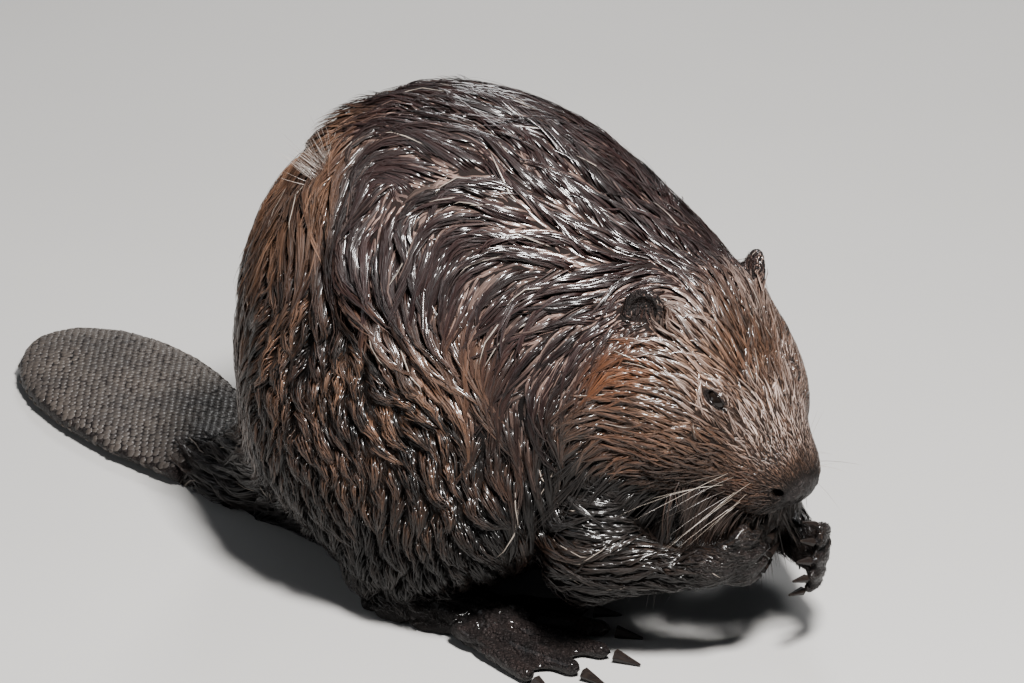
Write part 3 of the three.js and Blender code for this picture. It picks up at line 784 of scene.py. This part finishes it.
crown = 1 - np.clip(np.abs(offset) / half[:, None], 0, 1) ** 2
tall = style[:, DEPTH] * (0.5 + 0.5 * luck[:, 4]) * np.where(under, 0.3, 1.0)
rise = style[:, RISE, None] * crown * ~under[:, None] * step(0.0, 3.0, steps)
height = tall[:, None] * PROFILE * (0.45 + 0.55 * crown) + rise * DOME
tufted = (clump_luck[clump] < 0.12) & (roots[:, 2] > 215) & ~stray & (roots[:, 0] < 50)
height += (tufted * (4.0 + 4.0 * luck[:, 5]) * ~under)[:, None] * RINGS ** 3 * (steps > BACK_STEPS + 2)
height += (stray * 0.09 * length)[:, None] * RINGS ** 2
path = path + path_way * height[..., None]
lean = np.where(in_knot, 0.9, 0.6)[:, None] * np.clip(offset / half[:, None], -1, 1) * ~under[:, None]
path_way = unit(path_way + across_line * lean[..., None])
path[..., 2] = np.maximum(path[..., 2], 0.4)

wide = style[:, BREADTH, None] * TAPER * (0.75 + 0.5 * luck[:, 3, None]) * (1 - 0.35 * stray[:, None])
wide *= np.where(under, 1.25, 1.0)[:, None]
thick = 0.2 * wide


# ------------------------------------------------------------------ markings, painted sheen and painted shade
SHEEN = (([10, -80, 256], 48), ([77, -50, 252], 36), ([-16, -29, 301], 40), ([45, -75, 240], 40))


def sheen(places):
    """Where the wet coat shines most: over the flank, the shoulder and the back."""
    lit = [spot(places * [1, side, 1], middle, reach) for side in (1, -1) for middle, reach in SHEEN]
    return np.maximum.reduce(lit)


def markings_and_painted_light(places):
    """The beaver's colours at places on it: how much face, ruddy, painted sheen, haunch, dark and wander. Dark
    is mostly painted shade, low on the body, over the chest, under the throat, in the creases and round the
    ears' hollows, and darker round the nose besides.
    """
    head = in_head(places)
    x, y, z = places.T
    side = np.abs(y + 15)

    def both(middle, radius, strength=1.0):
        """A spot on the face, and its mirror image."""
        return strength * np.maximum(spot(head, middle, radius), spot(head * [1, -1, 1], middle, radius))

    face = step(0.08, 0.42, head[:, 0]) * step(-1.2, -0.6, head[:, 2])
    ruddy = np.maximum.reduce([both([0.29, -0.44, 0.07], 0.17), both([0.5, -0.1, 0.23], 0.14, 0.12),
                               both([0.86, -0.17, -0.1], 0.13, 0.6), both([0.5, -0.44, -0.12], 0.2, 0.3)])
    # Painted sheen: pale grey where the wet hair catches the light, over the muzzle, the brow and the front
    # rim of each ear.
    painted_sheen = np.maximum.reduce([both([0.76, -0.06, 0.12], 0.22, 1.1), both([0.56, -0.24, 0.14], 0.16, 0.7),
                               both([0.31, -0.21, 0.25], 0.2, 0.5), both([0.18, -0.31, 0.33], 0.06, 0.9)])
    haunch = step(25, 85, side) * (1 - step(180, 235, z)) * (1 - step(0, 60, x))
    haunch = np.maximum(haunch, 1 - step(-125, -85, x - 0.25 * (z - 200)))
    wander = 0.5 + 0.5 * ripple(places, 45, 41)
    away, down = to_swag(places)
    # Painted shade in the creases between the knots, and a painted shadow under the long hair's edge.
    crease = (1 - step(0.2, 0.62, knots(places))) * lumps(places)
    crease = np.maximum(crease, bell(away + 5, 4) * step(0.1, 0.4, down))
    # Painted shade over the chest, low on the body and under the throat.
    shade = step(60, 100, side) * step(0, 40, x) * (1 - face) * (1 - step(150, 215, z))
    low = 1 - step(50, 150, z - 0.1 * x)
    throat = step(0.2, 0.34, -head[:, 2]) * step(0.1, 0.3, head[:, 0]) * step(60, 90, z)
    # Darker round the nose; round the ears' hollows the shade is painted.
    snout, hollow = spot(head, [0.99, 0, -0.06], 0.2), both([0.09, -0.4, 0.27], 0.085)
    # All the darkening together, nearly all of it painted shade.
    dark = np.maximum.reduce([0.9 * low, 0.93 * throat, 0.75 * shade, 0.92 * crease, 0.75 * snout,
                              0.85 * hollow])
    return face, ruddy, painted_sheen, haunch * (0.6 + 0.5 * wander), dark, wander


BLACKISH = np.array([0.0098, 0.0044, 0.0040])
HAUNCH_BROWN = np.array([0.072, 0.037, 0.021])
FACE_BROWN = np.array([0.045, 0.0225, 0.0125])
RUDDY = np.array([0.090, 0.031, 0.011])
# The pale grey of the painted sheen.
PAINTED_SHEEN_GREY = np.array([0.32, 0.24, 0.205])
UNDERFUR = np.array([0.150, 0.098, 0.080])
PALE_HAIR = np.array([0.19, 0.16, 0.135])
FACE_UNDERFUR = np.array([0.115, 0.066, 0.042])
BEARD_BROWN = np.array([0.020, 0.013, 0.010])
# Near black: painted shadow under the chin.
THROAT_SHADOW_BLACK = np.array([0.004, 0.0027, 0.0022])
TUFT_GREY = np.array([0.21, 0.18, 0.16])


def mixed(colour, other, share):
    return colour + (other - colour) * np.clip(share, 0, 1)[:, None]


def tint(marked, light, luck, hue):
    """The coat's colour where it is so marked, light where its underfur shows, pale grey in the painted sheen
    and darker in the painted shade.
    """
    face, ruddy, painted_sheen, haunch, dark, wander = marked
    colour = np.tile(BLACKISH, (len(face), 1))
    colour = mixed(colour, HAUNCH_BROWN, haunch * (0.35 + 0.65 * luck))
    colour = mixed(colour, FACE_BROWN, face * (0.45 + 0.55 * luck))
    colour = mixed(colour, RUDDY, ruddy * (0.3 + 0.7 * luck) * 0.85)
    # Painted sheen: pale grey on some locks.
    colour = mixed(colour, PAINTED_SHEEN_GREY, painted_sheen * step(0.4, 1.0, luck) * 0.9)
    under = mixed(np.tile(UNDERFUR, (len(face), 1)), FACE_UNDERFUR, face)
    under = mixed(under, HAUNCH_BROWN * 2.6, 0.5 * haunch)
    colour = mixed(colour, under, light * (1 - 0.6 * dark) * (0.55 + 0.45 * luck))
    # dark paints the shade into the colour.
    return colour * ((0.25 + 1.3 * hue + 0.2 * (wander - 0.5)) * (1 - dark))[:, None]


# ------------------------------------------------------------------ finishes
class Number:
    """A number or colour in a material, whose arithmetic adds Math nodes."""

    def __init__(self, finish, socket):
        self.finish, self.socket = finish, socket

    def maths(self, operation, *values):
        return self.finish.node("ShaderNodeMath", {"operation": operation}, *values)

    def __add__(self, other):
        return self.maths("ADD", self, other)

    def __rsub__(self, other):
        return self.maths("SUBTRACT", other, self)

    def __mul__(self, other):
        return self.maths("MULTIPLY", self, other)

    __radd__, __rmul__ = __add__, __mul__

    def between(self, low, high):
        """0 at low and 1 at high, held there beyond them."""
        return self.finish.node("ShaderNodeMapRange", {"clamp": True}, self, low, high, 0.0, 1.0)


class Finish:
    """A material being written, with its shader."""

    def __init__(self, name, **constants):
        self.material = bpy.data.materials.new(name)
        self.material.use_nodes = True
        self.tree = self.material.node_tree
        self.shader = self.tree.nodes["Principled BSDF"]
        self.done(**constants)

    def put(self, socket, value):
        if isinstance(value, Number):
            self.tree.links.new(value.socket, socket)
        elif isinstance(value, tuple) and socket.type == "RGBA":
            socket.default_value = (*value, 1)
        else:
            socket.default_value = value

    def node(self, kind, settings, *values, out=0, **named):
        node = self.tree.nodes.new(kind)
        for name, value in settings.items():
            setattr(node, name, value)
        for socket, value in zip(node.inputs, values):
            self.put(socket, value)
        for name, value in named.items():
            self.put(node.inputs[name], value)
        return Number(self, node.outputs[out])

    def attribute(self, name, out="Fac"):
        return self.node("ShaderNodeAttribute", {"attribute_name": name}, out=out)

    def places(self, scale=(1, 1, 1)):
        place = self.node("ShaderNodeTexCoord", {}, out="Object")
        return self.node("ShaderNodeVectorMath", {"operation": "MULTIPLY"}, place, scale)

    def noise(self, where, scale, detail=3.0):
        return self.node("ShaderNodeTexNoise", {}, Vector=where, Scale=scale, Detail=detail, Roughness=0.55)

    def cells(self, where, scale, feature="DISTANCE_TO_EDGE"):
        return self.node("ShaderNodeTexVoronoi", {"feature": feature}, Vector=where, Scale=scale)

    def mix(self, share, a, b):
        node = self.tree.nodes.new("ShaderNodeMix")
        node.data_type = "RGBA"
        for index, value in ((0, share), (6, a), (7, b)):
            self.put(node.inputs[index], value)
        return Number(self, node.outputs[2])

    def shaded(self, colour, value):
        """A colour made lighter or darker by a number."""
        return self.node("ShaderNodeVectorMath", {"operation": "SCALE"}, colour, Scale=value)

    def bump(self, height, distance, strength=1.0):
        return self.node("ShaderNodeBump", {}, Height=height, Distance=distance, Strength=strength)

    def done(self, **links):
        for socket, value in links.items():
            self.put(self.shader.inputs[socket.replace("_", " ")], value)
        return self.material


LEATHER, LEATHER_WORN = (0.004, 0.003, 0.003), (0.015, 0.010, 0.009)
SCALE_DARK, SCALE_BROWN, SCALE_WORN = (0.015, 0.012, 0.011), (0.036, 0.028, 0.023), (0.06, 0.05, 0.042)
HORN, HORN_STREAK, HORN_WORN = (0.003, 0.002, 0.002), (0.012, 0.008, 0.006), (0.025, 0.018, 0.014)
EYE_BLACK, EYE_BROWN = (0.002, 0.0015, 0.0015), (0.006, 0.004, 0.003)
WHISKER_DARK, WHISKER_PALE = (0.03, 0.022, 0.018), (0.40, 0.34, 0.28)
FLOOR, FLOOR_PALE = (0.275, 0.27, 0.262), (0.31, 0.304, 0.295)


def coat_finish():
    """Wet hair: fine strands along each lock, dark and glossy, duller where the underfur shows."""
    f = Finish("wet_hair", IOR=1.35, Specular_IOR_Level=0.3, Coat_IOR=1.42, Coat_Roughness=0.155)
    strand = f.attribute("strand", "Vector")
    fine, broad = f.noise(strand, 1.0, 2.0), f.noise(strand, 0.3, 1.0)
    colour = f.shaded(f.attribute("tint", "Color"), 0.15 + fine.between(0.3, 0.7) * 1.1 + broad * 0.6)
    rough = 0.4 + fine * 0.16 + f.attribute("light") * 0.2
    gloss = ((0.3 + fine.between(0.35, 0.65) * 0.6) * f.attribute("wet")).between(0.0, 1.0)
    return f.done(Base_Color=colour, Roughness=rough, Coat_Weight=gloss, Normal=f.bump(fine, 0.0006, 0.8))


def skin_finish():
    """The skin under the coat, and bare and dark on the nose, the ears, the hands and the feet."""
    f = Finish("beaver_skin", IOR=1.35, Specular_IOR_Level=0.25, Coat_IOR=1.4, Coat_Roughness=0.09)
    place = f.places()
    grain = f.noise(place, 900.0)
    pores, pebble, wrinkle = f.cells(place, 620.0), f.cells(place, 480.0, "F1"), f.cells(place, 230.0)
    bare = f.attribute("bare")
    leather = f.mix(f.noise(place, 60.0).between(0.35, 0.7), LEATHER, LEATHER_WORN)
    hair = f.shaded(f.attribute("tint", "Color"), 0.5 + grain * 0.8)
    colour = f.mix(bare, hair, f.shaded(leather, 0.7 + pores.between(0.0, 0.25) * 0.5))
    height = grain * 0.5 + pebble * bare * -1.2 + pores.between(0.0, 0.12) * bare * 0.6
    height = height + wrinkle.between(0.0, 0.2) * bare * 1.4
    rough = 0.8 - bare * 0.25 + grain * 0.15
    return f.done(Base_Color=colour, Roughness=rough, Coat_Weight=bare * 0.24, Normal=f.bump(height, 0.0012))


def scale_finish():
    """The tail's horny scales: dark grey-brown, some plates worn paler than others, dull and a little wet."""
    f = Finish("tail_scales", IOR=1.4, Specular_IOR_Level=0.35, Coat_Weight=0.25, Coat_Roughness=0.18)
    grain, blotch = f.noise(f.places(), 700.0, 4.0), f.noise(f.places(), 28.0)
    colour = f.mix(blotch.between(0.35, 0.7), SCALE_DARK, SCALE_BROWN)
    colour = f.mix(f.attribute("luck") * 0.35, colour, SCALE_WORN)
    colour = f.shaded(colour, 0.7 + grain * 0.6)
    return f.done(Base_Color=colour, Roughness=0.5 + grain * 0.2, Normal=f.bump(grain, 0.0004, 0.5))


def horn_finish():
    """Claws of dark horn, streaked along their length and worn paler."""
    f = Finish("claw_horn", IOR=1.35, Specular_IOR_Level=0.15, Coat_Weight=0.25, Coat_Roughness=0.1)
    streak, wear = f.noise(f.places((1, 4, 4)), 260.0), f.noise(f.places(), 150.0, 2.0)
    colour = f.mix(streak.between(0.3, 0.75), HORN, HORN_STREAK)
    colour = f.mix(wear.between(0.55, 0.8) * 0.3, colour, HORN_WORN)
    return f.done(Base_Color=colour, Roughness=0.55 + wear * 0.2, Normal=f.bump(streak, 0.0003, 0.4))


def eye_finish():
    f = Finish("eye_wet", IOR=1.38, Roughness=0.05)
    mist = f.noise(f.places(), 300.0, 2.0)
    return f.done(Base_Color=f.mix(mist.between(0.3, 0.7), EYE_BLACK, EYE_BROWN))


def whisker_finish():
    f = Finish("whisker", IOR=1.55, Coat_Weight=0.2, Coat_Roughness=0.2)
    shade = f.noise(f.places(), 200.0, 2.0)
    colour = f.mix(f.attribute("light"), WHISKER_DARK, WHISKER_PALE)
    return f.done(Base_Color=f.shaded(colour, 0.75 + shade * 0.4), Roughness=0.32 + shade * 0.1)


def finished(piece, material, slot):
    piece.data.materials.clear()
    piece.data.materials.append(material)
    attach(piece, "root")


wet_hair, whisker = coat_finish(), whisker_finish()

# ------------------------------------------------------------------ the unwrap of the skin
unwrap = placed("unwrap", skin.data.copy())
modify(unwrap, "DECIMATE", ratio=0.05)
with editing(unwrap):
    bpy.ops.uv.smart_project(angle_limit=math.radians(60), island_margin=0.004)
unwrap_points, unwrap_faces = corners_of(unwrap), triangles_of(unwrap)
unwrap_map = read(unwrap.data.uv_layers.active.data, "uv", 2, np.float32)[triangles_of(unwrap, "loops")]
unwrap_tree = surface_tree(unwrap_points, unwrap_faces)
bpy.data.objects.remove(unwrap)


def unwrapped(places):
    """Where places on the skin fall on its unwrap."""
    found = [unwrap_tree.find_nearest(place) for place in places.tolist()]
    near, index = np.array([hit[0] for hit in found]), np.array([hit[2] for hit in found])
    a, b, c = (unwrap_points[unwrap_faces[index, k]] for k in range(3))
    whole = np.cross(b - a, c - a)
    size = np.maximum((whole ** 2).sum(1), 1e-12)
    v = (np.cross(near - a, c - a) * whole).sum(1) / size
    w = (np.cross(b - a, near - a) * whole).sum(1) / size
    weights = np.clip(np.stack([1 - v - w, v, w], 1), 0, 1)
    return (unwrap_map[index] * weights[..., None]).sum(1)


def lock_piece(name, path, ways_out, wide, thick, tints, light, luck, home=None, wet=1.0):
    """Closed three-sided locks along paths, each a ring at every step and a point at its end."""
    count, steps, _ = path.shape
    rings = steps - 1
    each = 3 * rings + 1
    along = unit(np.gradient(path, axis=1))
    side = unit(np.cross(along, ways_out))
    crest = np.cross(side, along)[:, :-1] * thick[..., None]
    shoulder = side[:, :-1] * (wide / 2)[..., None]
    middle = path[:, :-1]
    body = np.stack([middle - shoulder, middle + crest, middle + shoulder], axis=2)
    corners = np.concatenate([body.reshape(count, 3 * rings, 3), path[:, -1:]], axis=1)
    corners[..., 2] = np.maximum(corners[..., 2], 0.0)

    faces, patch = [(0, 2, 1)], [((0, 0), (1, 0), (0.5, 0))]
    for k in range(3):
        a, b = k / 3, (k + 1) / 3
        for ring in range(rings):
            low, high = ring / rings, (ring + 1) / rings
            p, q = 3 * ring + k, 3 * ring + (k + 1) % 3
            if ring == rings - 1:
                faces.append((p, q, 3 * rings))
                patch.append(((a, low), (b, low), ((a + b) / 2, 1)))
            else:
                faces += [(p, q, q + 3), (p, q + 3, p + 3)]
                patch += [((a, low), (b, low), (b, high)), ((a, low), (b, high), (a, high))]
    all_faces = (np.arange(count)[:, None, None] * each + np.array(faces)).reshape(-1, 3)
    piece = mesh_piece(name, corners.reshape(-1, 3), all_faces)
    local = edges_of(piece) % each
    corner = np.where(local == 3 * rings, -1, local % 3)
    sharp = ((corner == 1).sum(1) == 0) & ((corner[:, 0] == corner[:, 1]) | (corner < 0).any(1))
    piece.data.attributes.new("sharp_edge", "BOOLEAN", "EDGE").data.foreach_set("value", sharp)
    bake_map(piece, unwrapped(path[:, 0]) if home is None else home, np.array(patch) - 0.5)

    strand = np.empty((count, each, 3))
    across = np.append(np.tile([0.0, 0.5, 1.0], rings), 0.5)
    strand[..., 0] = across * wide.mean(1)[:, None] * 3.4 + luck[:, None] * 97
    ring_share = np.append(np.repeat(np.arange(rings) / rings, 3), 1.0)
    strand[..., 1] = ring_share * np.linalg.norm(path[:, -1] - path[:, 0], axis=1)[:, None] * 0.09
    strand[..., 2] = luck[:, None] * 31
    mark(piece, "strand", strand.reshape(-1, 3))
    mark(piece, "tint", np.repeat(tints, each, axis=0))
    mark(piece, "light", np.repeat(light, each))
    mark(piece, "wet", np.repeat(np.broadcast_to(wet, count), each))
    return piece


# ------------------------------------------------------------------ the coat, region by region
def region_of(places, kinds):
    """Names each root's region of the coat, so that no piece grows too large."""
    head = in_head(places)
    trunk = np.isin(kinds, ("trunk", "hind_leg", "tail_base", "tail"))
    face = np.isin(kinds, ("head", "nose", "lower_jaw", "ear"))
    limb = np.isin(kinds, ("upper_arm", "forearm", "hand", "hind_foot"))
    low = places[:, 2] <= 195
    side = np.where(np.where(face, head[:, 1], places[:, 1]) > 0, "left", "right")
    names = np.full(len(places), "belly_coat", dtype="<U24")
    for name, here in (
        ("_back_coat", trunk & ~low), ("_flank_coat", trunk & low & (places[:, 2] > 60)),
        ("rump_coat", trunk & low & (places[:, 0] < -100)), ("_haunch_coat", trunk & (lumps(places) > 0.4)),
        ("neck_coat", kinds == "neck"), ("limb_coat", limb),
        ("_cheek_coat", face), ("_muzzle_coat", face & (head[:, 0] > 0.55)),
    ):
        names[here] = np.char.add(side[here], name) if name[0] == "_" else name
    return names


region = region_of(roots, kind[faces[root_face, 0]])
shine = sheen(roots)
light = np.clip(parted * (0.5 + 0.6 * open_share) * (1 - 0.5 * shine) + 0.1 * under, 0, 1)
hue = 0.6 * clump_hue[clump] + 0.4 * luck[:, 5]
marked = markings_and_painted_light(roots)
face, _, _, haunch, dark, _ = marked
tints = tint(marked, light, luck[:, 4], hue)
tints = np.where((stray & (luck[:, 5] > 0.85))[:, None], PALE_HAIR, tints)
# Painted shade in the creases where the clumps of the haunch's knots meet.
knot_crease_shade = in_knot * (1 - step(0.04, 0.3, border))
tints = tints * (1 - 0.85 * knot_crease_shade)[:, None]
# The wet gloss is cut where shade is painted, and raised on the face, the haunch and where the coat shines.
wet = 1 - 0.7 * np.maximum(dark, knot_crease_shade) + 0.5 * face + 0.3 * haunch + 0.7 * shine
home = unwrapped(roots)
for name in sorted(set(region)):
    here = region == name
    short = any(word in name for word in ("muzzle", "cheek", "limb", "belly", "haunch"))
    kept = [0, 1, 3, 4] if short else [0, 1, 2, 3, 4]  # short locks need fewer rings
    lines = path[here][:, kept], path_way[here][:, kept], wide[here][:, kept[:-1]], thick[here][:, kept[:-1]]
    looks = tints[here], light[here], luck[here, 0], home[here], wet[here]
    piece = lock_piece(name, *lines, *looks)
    finished(piece, wet_hair, "face_coat" if "cheek" in name or "muzzle" in name else "coat")


# ------------------------------------------------------------------ beard, throat, tufts and whiskers
STRETCH = np.array([0.0, 0.25, 0.5, 0.78, 1.0])  # where along a hair its rings stand
DRAWN_IN = np.array([0, 0.25, 0.5, 0.8, 1.0])  # and how far it has drawn in to its neighbours there


def hair_path(starts, first, then, length, hang):
    """Paths that set out one way and bend to another, hang saying how soon."""
    share = STRETCH[:, None]
    bent = hang[:, None, None] * share ** 2
    way = first[:, None] * (share - 0.6 * bent) + then[:, None] * bent
    return starts[:, None] + way * length[:, None, None]


def lie_at(places):
    return touched(places)[2]


def hanging_hair(name, share, first, then, shortest, longest, width, colour, light, hang, seed, loose=1.0):
    """Wet points of hair growing where share is above 0, share of them to the square millimetre."""
    rng = np.random.default_rng(seed)
    _, there = scattered(share / THIN, rng)
    starts, outward = there(points), unit(there(ways))
    count = len(starts)
    # Neighbouring hairs draw together into points.
    group_at = starts[rng.integers(0, count, max(int(count * loose / 9), 1))]
    nearest = np.linalg.norm(starts[:, None] - group_at, axis=2).argmin(1)
    length = rng.uniform(shortest, longest, len(group_at))[nearest] * rng.uniform(0.75, 1.1, count)
    jitter = rng.normal(0, 0.16, (len(group_at), 3))[nearest] + rng.normal(0, 0.05, (count, 3))
    jitter = loose ** 0.2 * jitter
    path = hair_path(starts, unit(first(starts, outward) + jitter), unit(then + jitter), length,
                     np.full(count, hang) * rng.uniform(0.8, 1.2, count))
    path += (group_at[nearest] - starts)[:, None] * (0.8 * DRAWN_IN ** 1.2)[:, None]
    path[..., 2] = np.maximum(path[..., 2], 0.6)
    wide = width * rng.uniform(0.7, 1.2, (count, 1)) * np.array([0.9, 1.0, 0.8, 0.5])
    luck = rng.random(count)
    outs = np.repeat(outward[:, None], len(STRETCH), axis=1)
    tints = colour * (0.5 + luck[:, None])
    piece = lock_piece(name, path, outs, wide, 0.5 * wide, tints, np.full(count, light), luck)
    finished(piece, wet_hair, "face_coat")


head = in_head(points)
down = np.array([-0.06, 0.0, -1.0])
lip = step(0.66, 0.74, head[:, 0]) * step(0.17, 0.2, -head[:, 2]) * (1 - step(0.33, 0.37, -head[:, 2]))
lip *= is_head * (1 - nose_pad)
hanging_hair("lip_beard", lip / 2.2, lambda at, out: unit(0.8 * out + lie_at(at) + down), down, 12, 38, 0.7,
             BEARD_BROWN, 0.1, 0.6, 61)
# The throat's hair hangs long and near black, a painted shadow under the chin that fills the gap down to the
# arms.
chin = step(0.26, 0.33, -head[:, 2]) * step(0.1, 0.3, head[:, 0]) * (1 - step(0.8, 0.9, head[:, 0])) * is_head
hanging_hair("throat_beard", chin / 3.6, lambda at, out: unit(0.6 * out + 2.0 * lie_at(at) + 0.7 * down),
             unit(down + [-0.5, 0, 0]), 20, 60, 1.0, THROAT_SHADOW_BLACK, 0.0, 0.6, 62)
rump_at = touched(np.array([[-112.0, -42.0, 266.0]]))[0]
tuft = 1 - step(3, 12, far_from(rump_at, points))
up_and_back = np.array([-0.45, -0.1, 0.85])
hanging_hair("rump_tuft", tuft / 1.3, lambda at, out: unit(0.3 * out + 0.07 * (at - rump_at) + up_and_back),
             unit(np.array([-0.75, 0.1, 0.5])), 9, 32, 0.24, TUFT_GREY, 0.5, 0.3, 63, 4.0)


def whisker_piece(name, side):
    """Stiff whiskers in rows on the side of the muzzle, sweeping out, back and down."""
    rng = np.random.default_rng(70 + side)
    rows, columns = np.meshgrid(np.arange(4), np.arange(4), indexing="ij")
    count = rows.size
    row, column = rows.ravel() + rng.normal(0, 0.3, count), columns.ravel() + rng.normal(0, 0.3, count)
    on_muzzle = np.stack([0.78 + 0.035 * column, side * (0.23 - 0.012 * column), -0.05 - 0.045 * row], 1)
    starts, outward, _ = touched(SKULL + on_muzzle @ (HEAD_AXES.T * HEAD))
    out = np.array([head_way(-0.5 + 0.2 * c, side * 0.9, -0.1 - 0.22 * r) for r, c in zip(row, column)])
    later = unit(out * [1, 1, 0.4] + [-0.25, 0, -0.75])
    length = rng.uniform(26, 68, count)
    path = hair_path(starts - outward * 0.8, unit(out + rng.normal(0, 0.22, (count, 3))), later, length,
                     rng.uniform(0.2, 0.6, count))
    path[..., 2] = np.maximum(path[..., 2], 1.0)
    wide = 0.26 * rng.uniform(0.7, 1.2, (count, 1)) * np.array([1.0, 0.85, 0.65, 0.4])
    outs = np.repeat(outward[:, None], len(STRETCH), axis=1)
    light = rng.uniform(0.1, 1.0, count)
    piece = lock_piece(name, path, outs, wide, 0.8 * wide, np.full((count, 3), 0.3), light, rng.random(count))
    finished(piece, whisker, "face_coat")


for name, side in SIDES.items():
    whisker_piece(name + "_whiskers", side)

# ------------------------------------------------------------------ the tail's scales
SCALE_LONG, SCALE_WIDE = 4.4, 5.2
EDGE = np.array([(math.cos(math.radians(a)), math.sin(math.radians(a))) for a in range(30, 390, 60)])


def tail_scales_piece(name, above, material):
    """Small six-sided plates in staggered rows, each lifted a little at its hind edge over the next."""
    rng = np.random.default_rng(80 + above)
    along, across = np.meshgrid(np.arange(14, TAIL_LONG, SCALE_LONG * 0.87), np.arange(-64, 64, SCALE_WIDE),
                                indexing="ij")
    across = across + (np.arange(len(along)) % 2 * SCALE_WIDE / 2)[:, None]
    spots = np.stack([along.ravel(), across.ravel()], 1) + rng.normal(0, 0.4, (along.size, 2))
    side_way = np.array([-TAIL_ALONG[1], TAIL_ALONG[0]])
    spots = TAIL_ROOT[:2] + spots[:, :1] * TAIL_ALONG + spots[:, 1:] * side_way
    start, look = (80.0, -1) if above else (-5.0, 1)
    hits = [tree.ray_cast(Vector((x, y, start)), Vector((0, 0, look))) for x, y in spots]
    kept = [hit for hit in hits
            if hit[0] is not None and kind[faces[hit[2], 0]] == "tail" and hit[1].z * look < -0.35]
    middle, out = np.array([hit[0] for hit in kept]), np.array([hit[1] for hit in kept])
    count = len(kept)
    size = rng.uniform(0.85, 1.2, (count, 1, 1))
    ahead = np.append(TAIL_ALONG, 0.0)
    ahead = unit(ahead - out * (out @ ahead)[:, None])
    aside = np.cross(out, ahead)
    ring = ahead[:, None] * (EDGE[:, :1] * SCALE_LONG * 0.58)
    ring = (ring + aside[:, None] * (EDGE[:, 1:] * SCALE_WIDE * 0.56)) * size
    lift = (0.05 + 0.2 * (EDGE[:, 0] + 1) / 2) * rng.uniform(0.6, 1.4, (count, 1))
    crown = (middle + out * rng.uniform(0.2, 0.42, (count, 1)))[:, None]
    rim = middle[:, None] + ring * 0.9 + out[:, None] * lift[..., None]
    base = middle[:, None] + ring - out[:, None] * 0.35
    corners = np.concatenate([crown, rim, base], axis=1)
    corners[..., 2] = np.maximum(corners[..., 2], 0.0)
    plate = []
    for a in range(1, 7):
        b = a % 6 + 1
        plate += [(0, a, b), (a, a + 6, b + 6), (a, b + 6, b)]
    plate = np.array(plate + [(7, corner + 1, corner) for corner in range(8, 12)])
    each = corners.shape[1]
    all_faces = (np.arange(count)[:, None, None] * each + plate).reshape(-1, 3)
    piece = mesh_piece(name, corners.reshape(-1, 3), all_faces)
    bake_map(piece, unwrapped(middle), np.vstack([[0, 0], EDGE * 0.4, EDGE * 0.5])[plate])
    mark(piece, "luck", np.repeat(rng.random(count), each))
    finished(piece, material, "bare_skin")


tail_scales = scale_finish()
tail_scales_piece("upper_tail_scales", True, tail_scales)
tail_scales_piece("lower_tail_scales", False, tail_scales)

bare = np.isin(kind, ("hand", "hind_foot", "tail", "ear")).astype(float)
bare[heel] = 0.3
bare = np.clip(np.maximum(evened(bare, edges, 3), nose_pad), 0, 1)
for eye in eyes:
    out, along, up = eye.split(points)
    bare = np.maximum(bare, (1 - step(3.4, 5.2, np.hypot(along * 0.5, up))) * (out > -2))
none = np.zeros(len(points))
# The skin takes the coat's colours, with the painted sheen and the painted shade.
mark(skin, "tint", tint(markings_and_painted_light(points), none + 0.2, none + 0.4, none) * 0.7)
mark(skin, "bare", bare)
finished(skin, skin_finish(), "bare_skin")
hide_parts(*FLESH)
skin.data.shade_smooth()

# ------------------------------------------------------------------ claws and eyes
claw_horn, eye_wet = horn_finish(), eye_finish()
for name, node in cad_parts.items():
    if "claw" in name:
        node.data.materials.clear()
        node.data.materials.append(claw_horn)

for eye in eyes:
    bpy.ops.object.select_all(action="DESELECT")
    place = part(eye.middle)
    bpy.ops.mesh.primitive_uv_sphere_add(segments=48, ring_count=24, radius=EYE * MM, location=place)
    ball = bpy.context.active_object
    ball.name = ball.data.name = eye.name + "_eyeball"
    bpy.ops.object.transform_apply(location=True, rotation=True, scale=True)
    bpy.ops.object.shade_smooth()
    finished(ball, eye_wet, "eyes")
    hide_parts(eye.name + "_eye")

# ------------------------------------------------------------------ the stage
bpy.ops.object.select_all(action="DESELECT")
bpy.ops.mesh.primitive_plane_add(size=8, location=(0, 0, 0))
floor = bpy.context.active_object
floor.name = "floor"
f = Finish("pale_floor", Roughness=0.75)
floor.data.materials.append(f.done(Base_Color=f.mix(f.noise(f.places(), 3.0), FLOOR, FLOOR_PALE)))

world = bpy.data.worlds.new("studio")
bpy.context.scene.world = world
world.use_nodes = True
sky = world.node_tree.nodes["Background"].inputs
sky["Color"].default_value = (0.86, 0.92, 1.0, 1)
sky["Strength"].default_value = 0.12


LIT = Vector((0.05, 0, 0.15))  # what the lamps point at


def softbox(name, way, distance, size, power, colour=(1, 1, 1)):
    place = LIT + Vector(way).normalized() * distance
    bpy.ops.object.light_add(type="AREA", location=place)
    lamp = bpy.context.active_object
    lamp.name = name
    lamp.data.size, lamp.data.energy, lamp.data.color = size, power, colour
    lamp.rotation_euler = Vector(way).to_track_quat("Z", "Y").to_euler()


softbox("key", (0.45, -0.5, 1.0), 1.9, 0.32, 190, (1.0, 0.98, 0.96))
softbox("fill", (-0.8, -0.9, 0.5), 2.2, 1.0, 8, (0.93, 0.96, 1.0))
softbox("rim", (-0.2, 0.9, 0.8), 2.0, 0.5, 26)

AIM, CAMERA_FAR = [0, 0, 150], 4.2
CAMERA_WAY = Vector((0.3395, -0.8403, 0.4226)).normalized()
SENSOR, PICTURE_WIDE, FOCAL_PIXELS = 36, 1024, 6800
camera = placed("camera", bpy.data.cameras.new("camera"))
bpy.context.scene.camera = camera
camera.location = Vector(part(AIM)) + CAMERA_WAY * CAMERA_FAR
camera.rotation_euler = CAMERA_WAY.to_track_quat("Z", "Y").to_euler()
camera.data.sensor_width, camera.data.lens = SENSOR, FOCAL_PIXELS / PICTURE_WIDE * SENSOR
